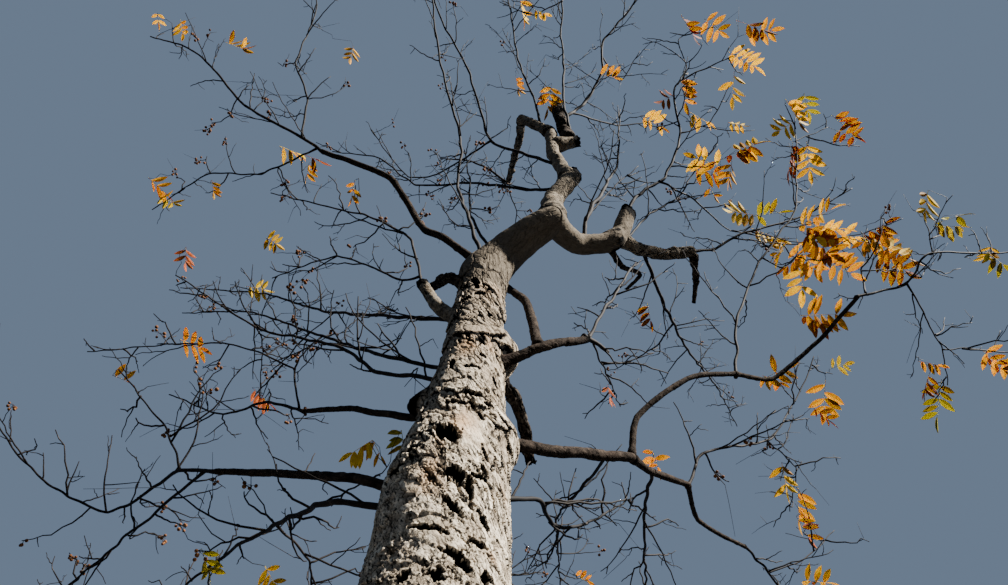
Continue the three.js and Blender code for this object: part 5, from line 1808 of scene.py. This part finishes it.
@dataclass
class Foliage:
    """Sprays of leaflets along a stalk, gathered by tint. A leaflet is a thin sheet folded along its rib."""

    draw: Generator
    box: Array
    shapes: dict[Tint, Shape] = field(default_factory=lambda: {tint: Shape() for tint in Tint})
    stations: tuple[float, ...] = (0, 0.1, 0.32, 0.6, 0.85, 1)
    widths: tuple[float, ...] = (0, 0.5, 0.95, 1, 0.52, 0)
    thickness: float = 0.15
    leaflet: float = 104.0

    def pattern(self) -> tuple[Array, Array, Array, Array]:
        """One leaflet: an upper and a lower sheet of rib and edge points, closed round the rim.

        Returns:
            Points as length, width, fold and depth shares, quads, triangles, and 1 for each edge point.
        """
        t, w = np.array(self.stations), np.array(self.widths)
        zero, inner = np.zeros(6), slice(1, 5)
        left = np.stack([t[inner], w[inner] / 2, 0.14 * w[inner], zero[inner]], axis=1)
        rib = np.stack([t, zero, zero, zero], axis=1)
        sheet = np.concatenate([rib, left, left * np.array([1, -1, 1, 1])])
        count = len(sheet)
        quads = [face for i in range(1, 4) for face in ((i, i + 1, 6 + i, 5 + i), (i, 9 + i, 10 + i, i + 1))]
        triangles = [(0, 1, 6), (0, 10, 1), (4, 5, 9), (4, 13, 5)]
        rim = (0, 10, 11, 12, 13, 5, 9, 8, 7, 6)
        quads, triangles = ([*faces, *(tuple(count + corner for corner in reversed(face)) for face in faces)]
                            for faces in (quads, triangles))
        quads += [(b, a, a + count, b + count) for a, b in zip(rim, (*rim[1:], rim[0]))]
        edge = np.concatenate([zero, np.ones(8)] * 2)
        points = np.concatenate([sheet, sheet + np.array([0, 0, 0, 1])])
        return points, np.array(quads), np.array(triangles), edge

    def spray(self, root: Array, heading: Array, length: float, tint: Tint, pairs: int,
              face: Array | None, scale: float = 1.0, fallen: float = 0.2) -> None:
        """Adds one spray: a thin stalk with leaflets in near pairs and one at its tip.

        One row of leaflets lies square to the facing way. The other opens from it by a drawn angle.

        Args:
            root: Where the stalk starts.
            heading: The way it runs.
            length: How long it is.
            tint: Its tint.
            pairs: How many pairs of leaflets it holds.
            face: The way that its leaflets face, or None for a drawn way.
            scale: How large its leaflets are, as a share of full size.
            fallen: The share of its leaflets that have dropped.
        """
        draw = self.draw
        facing = unit(draw.normal(size=3) + UP * 1.2) if face is None else face
        across = unit(np.cross(facing, heading))
        facing = np.cross(heading, across)
        opened = radians(draw.uniform(30, 180))
        rows = (0.0, opened) if draw.random() < 0.5 else (pi, pi - opened)
        places = np.linspace(0.2, 0.9, pairs)
        share = np.concatenate([places, places + draw.uniform(-0.04, 0.04, pairs), [1.0]])
        turn = np.concatenate([np.full(pairs, 1.0), np.full(pairs, -1.0), [0.0]])
        kept = draw.random(len(share)) > fallen
        kept[-1] = True
        share, turn = share[kept], turn[kept]
        joints = self.stalk_points(root, heading, length, share)
        lean = np.radians(np.where(turn == 0, 0, 72 + draw.uniform(-6, 6, len(turn)) - 12 * share))[:, None]
        droop = np.where(turn == 0, 0.15, draw.uniform(0.1, 0.4))[:, None]
        droop = droop + draw.uniform(-0.06, 0.1, (len(turn), 1))
        row = np.where(turn > 0, rows[0], rows[1])[:, None]
        sideways = across * np.cos(row) + facing * np.sin(row)
        way = unit(heading * np.cos(lean) + sideways * np.sin(lean) - UP * droop)
        flat = np.cross(heading, sideways) + draw.normal(size=way.shape) * 0.16
        normal = unit(flat - way * np.sum(flat * way, axis=1, keepdims=True))
        normal = normal * np.where(normal[:, 2:] < 0, -1, 1)
        size = scale * self.leaflet * draw.uniform(0.85, 1.1, len(share))
        size = size * (0.8 + 0.3 * np.sin(pi * (share * 0.75 + 0.1)))
        self.leaflets(joints, way, normal, size, tint)
        stalk = self.stalk_points(root, heading, length, np.linspace(0, 1, 5))[None]
        self.shapes[tint].tubes(stalk, np.linspace(1.5, 0.8, 5)[None], 3, edge=np.ones(1), tone=np.zeros(1))

    def stalk_points(self, root: Array, heading: Array, length: float, share: Array) -> Array:
        """Points at shares of a spray's stalk, which sags by the square of the share."""
        return root + heading * length * share[:, None] - UP * 0.1 * length * (share**2)[:, None]

    def leaflets(self, roots: Array, way: Array, normal: Array, size: Array, tint: Tint) -> None:
        """Adds leaflets: the pattern, scaled, curled along its length and set on each root's frame.

        Args:
            roots: Where they start.
            way: The way each points.
            normal: The way its upper side faces.
            size: How long it is.
            tint: Their tint.
        """
        points, quads, triangles, edge = self.pattern()
        draw = self.draw
        count = len(roots)
        across = np.cross(normal, way)
        wide = size * draw.uniform(0.3, 0.38, count)
        curl = size * draw.uniform(-0.04, 0.2, count)
        t = points[:, 0]
        lift = points[:, 2] * wide[:, None] - points[:, 3] * self.thickness - curl[:, None] * t**2
        placed = roots[:, None] + way[:, None] * (t * size[:, None])[..., None]
        placed = placed + across[:, None] * (points[:, 1] * wide[:, None])[..., None]
        placed = placed + normal[:, None] * lift[..., None]
        fits = ((placed > self.box[0]) & (placed < self.box[1])).all(axis=(1, 2))
        placed, count = placed[fits], int(fits.sum())
        first = (np.arange(count) * len(points))[:, None, None]
        self.shapes[tint].add(placed, quads + first, triangles + first, edge=np.tile(edge, count),
                              tone=np.repeat(draw.random(count), len(points)))

    def pictured(self, camera: Camera, orders: list[Shoots], stems: tuple[Array, Array]) -> Shoots:
        """Adds the sprays that the picture shows, each on the nearest twig there, reached by a link twig.

        Args:
            camera: The picture's viewpoint.
            orders: The orders of shoots that can carry a spray.
            stems: Points along the stems and the mass of each.

        Returns:
            The link twigs.
        """
        points = np.concatenate([stems[0], *[each.courses[:, 1:].reshape(-1, 3) for each in orders]])
        mass = [stems[1], *(np.repeat(each.mass, each.courses.shape[1] - 1) for each in orders)]
        mass = np.concatenate(mass)
        seen = camera.project(points)
        links, owners = [], []
        listed = ((*place, tint) for tint, places in PICTURED_SPRAYS.items() for place in places)
        for x, y, long, turn, tint in listed:
            way = np.array([cos(radians(turn)), sin(radians(turn))])
            foot = np.array([x, y]) - way * long / 2
            away = np.hypot(seen[:, 0] - foot[0], seen[:, 1] - foot[1])
            nearest = int(np.nanargmin(away))
            depth = seen[nearest, 2]
            root = camera.point(*foot, depth)
            tip = camera.point(*(np.array([x, y]) + way * long / 2), depth + self.draw.uniform(-60, 60))
            link = points[nearest] + (root - points[nearest]) * np.linspace(0, 1, 5)[:, None]
            stray = self.draw.normal(size=link.shape) * 0.07 * np.linalg.norm(root - points[nearest])
            stray[0] = stray[-1] = 0
            links.append(link + stray)
            owners.append(mass[nearest])
            length = float(np.linalg.norm(tip - root)) * 0.85
            scale = float(np.clip(length / 145, 0.62, 1))
            pairs = int(np.clip(round(length / (44 * scale)), 1, 6))
            towards = unit(camera.eye - root)
            face = unit(self.draw.normal(size=3) * 0.35 - towards)
            self.spray(root, unit(tip - root), length, tint, pairs, face, scale, 0.3 if pairs < 3 else 0.16)
        return Shoots(np.array(links), np.array(owners), LINK_TWIGS)


def root_of(parent: Course, where: float, legs: Legs) -> Array:
    """Where a limb or mass begins on its parent, set back inside it if it grows from the tip."""
    back = ROOT_DEPTH if where == 1 else 0.0
    return parent.solid_point(parent.share_at(where)) - direction(*legs[0][1:]) * back


def linear(colour: str) -> tuple[float, float, float, float]:
    """An sRGB hex colour as linear red, green, blue and alpha.

    Args:
        colour: The colour, such as #8f8d89.

    Returns:
        Its four parts from 0 to 1.
    """
    parts = [int(colour[i:i + 2], 16) / 255 for i in (1, 3, 5)]
    red, green, blue = (part / 12.92 if part <= 0.04045 else ((part + 0.055) / 1.055) ** 2.4
                        for part in parts)
    return red, green, blue, 1.0


def add_node(tree: NodeTree, kind: str, inputs: dict, out: int | str = 0,
             **settings: object) -> NodeSocket | None:
    """Adds a node.

    Args:
        tree: The node tree that it goes into.
        kind: Its type, without the prefix that all shader nodes share.
        inputs: For each input, a number, a hex colour or the output that feeds it.
        out: Which of its outputs is wanted.
        settings: Its own properties.

    Returns:
        The wanted output, or None if it has none.
    """
    node = tree.nodes.new(f"ShaderNode{kind}")
    for name, value in settings.items():
        setattr(node, name, value)
    for name, value in inputs.items():
        if isinstance(value, NodeSocket):
            tree.links.new(value, node.inputs[name])
        else:
            node.inputs[name].default_value = linear(value) if isinstance(value, str) else value
    return node.outputs[out] if len(node.outputs) else None


def empty_material(name: str) -> tuple[Material, NodeTree]:
    """A new material and its empty node tree.

    Args:
        name: The material's name.

    Returns:
        The material and the tree.
    """
    material = bpy.data.materials.new(name)
    material.use_nodes = True
    material.node_tree.nodes.clear()
    return material, material.node_tree


def layered(tree: NodeTree, colour: object, *layers: tuple) -> NodeSocket:
    """Lays colours over a base one.

    Args:
        tree: The node tree.
        colour: The base colour.
        layers: For each, its mask, the values where it starts and is full, its strength and its colour.

    Returns:
        The colour on top.
    """
    for mask, start, full, strength, over in layers:
        inputs = {"Value": mask, "From Min": start, "From Max": full, "To Max": strength}
        share = add_node(tree, "MapRange", inputs)
        colour = add_node(tree, "Mix", {0: share, 6: colour, 7: over}, 2, data_type="RGBA")
    return colour


def shaded(tree: NodeTree, colour: NodeSocket | str, bumps: tuple, **inputs: object) -> None:
    """Joins a colour and bumps to the shader and the output.

    Args:
        tree: The node tree.
        colour: The colour's output, or one plain hex colour.
        bumps: For each, its height's output, its strength and its depth in metres.
        inputs: The shader's other inputs, with underscores for spaces.
    """
    normal = {}
    for height, strength, depth in bumps:
        bump = {"Height": height, "Strength": strength, "Distance": depth, **normal}
        normal = {"Normal": add_node(tree, "Bump", bump)}
    named = {name.replace("_", " "): value for name, value in inputs.items()}
    named = {"Base Color": colour, "IOR": PLANT_IOR, **normal, **named}
    shader = add_node(tree, "BsdfPrincipled", named)
    add_node(tree, "OutputMaterial", {"Surface": shader})


@dataclass(frozen=True)
class BarkFinish:
    """Old flaking hardwood bark: dull cork plates, weathered pale, over dark cracks. Rough, with no gloss."""

    name: str
    pale: str = "#e0d3bc"
    dull: str = "#958774"
    fleck: str = "#4e443a"
    warm: str = "#b58f66"
    # Near black: the cracks' own colour, and painted shade in cracks, holes, creases, cut ends and on dark
    # burls.
    crack_and_shade: str = "#060504"
    # The cork scales' size in millimetres. Flecks and pores are coarser than real ones, which would not show.
    scale: float = 26.0
    cracked: float = 0.9
    flecked: float = 0.8

    def build(self) -> Material:
        """Makes scales with their own tones, warm patches, cracks, nicks and grain, also as bump.

        Returns:
            The material.
        """
        material, tree = empty_material(self.name)
        where = add_node(tree, "Attribute", {}, "Vector", attribute_name=GROWN)
        groove_and_shade, shade, warm, calm = (add_node(tree, "Attribute", {}, "Fac", attribute_name=name)
                                     for name in ("groove_and_shade", "tone", "warm", "calm"))
        sway = add_node(tree, "TexNoise", {"Vector": where, "Scale": 1000.0 / 16, "Detail": 5.0}, "Color")
        swing = {0: sway, 1: (0.02, 0.02, 0.014), 2: where}
        bent = add_node(tree, "VectorMath", swing, operation="MULTIPLY_ADD")
        long = add_node(tree, "Mapping", {"Vector": bent, "Scale": (1, 1, 0.4)})
        flecks, pores, broad, streaks, nicks = (
            add_node(tree, "TexNoise", {"Vector": vector, "Scale": 1000.0 / size, "Detail": 4.0})
            for vector, size in ((where, 7.0), (where, 2.6), (where, 55.0), (where, 10.0), (long, 9.0)))
        scaly = {"Vector": bent, "Scale": 1000.0 / self.scale}
        edges, scales = (add_node(tree, "TexVoronoi", scaly, out, feature=feature)
                         for out, feature in (("Distance", "DISTANCE_TO_EDGE"), ("Color", "F1")))
        scales = add_node(tree, "SeparateColor", {"Color": scales})
        busy = add_node(tree, "MapRange", {"Value": calm, "From Min": 0.9, "From Max": 0.62})
        split, nicked = (busy, 0.5, 0.6, edges, 0.06, 0.02), (busy, 0.7, 0.54, nicks, 0.56, 0.585)
        masks = []
        for most, rare, common, source, start, full in (split, nicked):
            for value, low, high in ((broad, rare, common), (source, start, full)):
                inputs = {"Value": value, "From Min": low, "From Max": high, "To Max": most}
                most = add_node(tree, "MapRange", inputs)
            masks.append(most)
        split, nicked = masks
        colour = layered(
            tree, self.dull, (shade, 0.1, 0.75, 1.0, self.pale), (scales, 0.45, 0.85, 0.6, self.dull),
            (broad, 0.46, 0.66, 0.8, self.dull), (warm, 0.0, 1.0, 1.0, self.warm),
            (streaks, 0.52, 0.64, self.flecked, self.fleck), (pores, 0.52, 0.68, self.flecked, self.fleck),
            # The last three layers paint cracks, nicks and the mesh's dark marks near black: partly own
            # colour, partly painted shade.
            (split, 0.0, 1.0, self.cracked, self.crack_and_shade), (nicked, 0.0, 1.0, self.cracked, self.crack_and_shade),
            (groove_and_shade, 0.2, 0.6, 1.0, self.crack_and_shade))
        bumps = ((scales, 0.002), (split, -0.003), (nicked, -0.003), (streaks, -0.0015), (flecks, 0.0015),
                 (pores, 0.0008))
        shaded(tree, colour, tuple((height, 0.8, depth) for height, depth in bumps), Roughness=0.93,
               Specular_IOR_Level=0.03)
        return material


@dataclass(frozen=True)
class TwigFinish:
    """Thin twig bark: smooth, dull, dark brown, silvered where the skin has dried and split."""

    name: str
    dark: str = "#0f0c0a"
    brown: str = "#241d18"
    silver: str = "#524a41"
    silver_size: float = 70.0
    # Wrinkles are drawn coarser than real ones, which would not show.
    grain_size: float = 2.5

    def build(self) -> Material:
        """Makes a tone for each twig, silvery stretches, and fine wrinkles as bump.

        Returns:
            The material.
        """
        material, tree = empty_material(self.name)
        where = add_node(tree, "TexCoord", {}, "Object")
        tone = add_node(tree, "Attribute", {}, "Fac", attribute_name="tone")
        silver, wrinkle = (
            add_node(tree, "TexNoise", {"Vector": where, "Scale": 1000.0 / size, "Detail": 2.0})
            for size in (self.silver_size, self.grain_size))
        colour = layered(tree, self.dark, (tone, 0.0, 1.0, 1.0, self.brown),
                         (silver, 0.62, 0.9, 1.0, self.silver))
        shaded(tree, colour, ((wrinkle, 0.5, 0.0008),), Roughness=0.75, Specular_IOR_Level=0.12)
        return material


@dataclass(frozen=True)
class LeafFinish:
    """A dry autumn leaflet: papery and thin enough to glow with the light behind it, paler along the rib."""

    name: str
    tint: Tint
    rib: str = "#d9b765"
    scorch_and_shade: str = "#6b3315"
    glow: float = 0.9
    # How far light travels inside it in metres, and the share of that for red, green and blue.
    glow_depth: float = 0.0006
    glow_colours: tuple[float, float, float] = (1.0, 0.95, 0.25)

    def build(self) -> Material:
        """Makes the spray's tint, browned on a few leaflets and in patches, with a faint rib.

        On a few whole leaflets the brown is partly their own and partly painted shade.

        Returns:
            The material.
        """
        material, tree = empty_material(self.name)
        where = add_node(tree, "TexCoord", {}, "Object")
        tone, edge = (add_node(tree, "Attribute", {}, "Fac", attribute_name=name)
                      for name in ("tone", "edge"))
        patch = add_node(tree, "TexNoise", {"Vector": where, "Scale": 1000.0 / 24, "Detail": 1.0})
        # Brown patches are the leaves' own; brown on a few whole leaflets is partly painted shade.
        colour = layered(tree, self.tint.value, (patch, 0.5, 0.7, 0.25, self.scorch_and_shade),
                         (tone, 0.75, 1.0, 0.8, self.scorch_and_shade), (edge, 0.1, 0.0, 0.2, self.rib))
        shaded(tree, colour, (), Roughness=0.7, Specular_IOR_Level=0.05, Subsurface_Weight=self.glow,
               Subsurface_Radius=self.glow_colours, Subsurface_Scale=self.glow_depth)
        return material


@dataclass
class Studio:
    """A plain pale floor under the tree, a plain backdrop and one soft sun-like key light."""

    floor_radius: float = 1.6
    floor_colour: str = "#8f8d89"
    above: str = "#6a7a90"
    below: str = "#3a3e44"
    key: float = 23.0
    key_turn: float = 62.0
    key_height: float = 40.0
    key_softness: float = 2.0

    def build(self) -> None:
        """Makes the floor, the world and the key light."""
        angle = np.linspace(0, 2 * pi, 96, endpoint=False)
        rim = np.stack([np.cos(angle), np.sin(angle), 0 * angle], axis=1) * self.floor_radius
        mesh = bpy.data.meshes.new("floor")
        mesh.from_pydata([tuple(point) for point in rim - UP * 0.0005], [], [tuple(range(len(rim)))])
        paint, tree = empty_material("floor_paint")
        shaded(tree, self.floor_colour, (), Roughness=0.8, IOR=1.5)
        mesh.materials.append(paint)
        floor = linked("floor", mesh)
        floor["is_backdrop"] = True
        self.world()
        data = bpy.data.lights.new("key", "SUN")
        data.energy, data.angle, data.color = self.key, radians(self.key_softness), (1.0, 0.96, 0.9)
        key = linked("key", data)
        key.rotation_euler = (radians(90 - self.key_height), 0, radians(self.key_turn))

    def world(self) -> None:
        """A world that is paler above the horizon than below it."""
        world = bpy.data.worlds.new("backdrop")
        world.use_nodes = True
        tree = world.node_tree
        tree.nodes.clear()
        where = add_node(tree, "TexCoord", {}, "Generated")
        height = add_node(tree, "SeparateXYZ", {"Vector": where}, "Z")
        colour = layered(tree, self.below, (height, -0.25, 0.1, 1.0, self.above))
        back = add_node(tree, "Background", {"Color": colour})
        add_node(tree, "OutputWorld", {"Surface": back})
        bpy.context.scene.world = world


def limb_courses() -> dict[str, Course]:
    """The courses of the trunk and of every limb, by name, as the solids have them.

    Returns:
        The courses.
    """
    stations = np.array(TRUNK_STATIONS, dtype=float)[:, :3]
    courses = {"trunk": Course(stations, 3)}
    for limb in LIMBS:
        root = root_of(courses[limb.parent], limb.where, limb.legs)
        courses[limb.name] = Course(walk(root, limb.legs), 2, LIMB_KNEE)
    return courses


def main() -> None:
    """Builds the camera, the studio and every piece of the tree."""
    logging.basicConfig(level=logging.INFO, format="%(message)s")
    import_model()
    cad_box = [list(corner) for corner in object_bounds()]
    box = np.array(cad_box) / MM
    camera = Camera()
    camera.build()
    Studio().build()
    courses = limb_courses()
    girths = {limb.name: limb.girth for limb in LIMBS}
    space = Space()
    stations = np.array(TRUNK_STATIONS)
    trunk_girth = np.interp(courses["trunk"].places, np.arange(len(stations)), stations[:, 3])
    space.place("trunk", courses["trunk"].coarse, trunk_girth / 2)
    for limb in LIMBS:
        course = courses[limb.name]
        space.place(limb.name, course.coarse, np.linspace(*limb.girth, len(course.coarse)) / 2)
    trunk_bark = BarkFinish("flaking_trunk_bark").build()
    arm_bark = BarkFinish("smooth_arm_bark", pale="#968b7a", dull="#675e51", fleck="#3f372f", warm="#7c6b51",
                          cracked=0.5, flecked=0.5).build()
    # Bough bark is near black: partly its own colour, partly painted shade on boughs seen from below.
    bough_bark = BarkFinish("shade_darkened_bough_bark", pale="#443b33", dull="#27211c", fleck="#1a1613",
                            warm="#362a22", scale=12.0, cracked=0.4, flecked=0.3).build()
    # Dark dead wood: partly weathered wood, partly painted shade on stubs that hang in shade.
    dead_wood = BarkFinish("dead_stub_wood_and_shade", pale="#5d544a", dull="#302923", fleck="#1e1814", warm="#46362a",
                           scale=12.0).build()
    stub_end = courses["right_stub"].joints[-1]
    Trunk().build(courses["right_arm"].joints, stub_end, trunk_bark, arm_bark)
    for number, limb in enumerate(LIMBS):
        if limb.name in ("right_arm", "right_stub"):
            continue
        parent = courses[limb.parent]
        if limb.where == 1:
            buried = ROOT_DEPTH
        elif limb.parent == "trunk":
            run = parent.share_at(limb.where) * parent.reach[-1]
            buried = float(np.interp(run, parent.reach, trunk_girth)) / 2
        else:
            buried = sum(girths[limb.parent]) / 4
        # Rough dead limbs take the dark dead wood, which is partly painted shade.
        is_weathered_and_shaded = limb.dead and limb.rough > 0
        material = dead_wood if is_weathered_and_shaded else arm_bark if limb.girth[0] > 60 else bough_bark
        LimbBark(limb, courses[limb.name], buried, number).build(material)
    radii = {name: max(girth) / 2 for name, girth in girths.items()} | {"trunk": TRUNK_CORE}
    crown = Crown(courses, radii, space, box, camera)
    crown.grow_rule()
    twig_bark = TwigFinish("dry_twig_bark").build()
    drupe = TwigFinish("dry_drupe_skin", "#3a2418", "#7a4f2c", "#a07c52", 9.0).build()
    tints = {tint: LeafFinish(f"autumn_leaf_{tint.name.lower()}", tint).build() for tint in Tint}
    crown.build(twig_bark, drupe, tints)


if __name__ == "__main__":
    main()
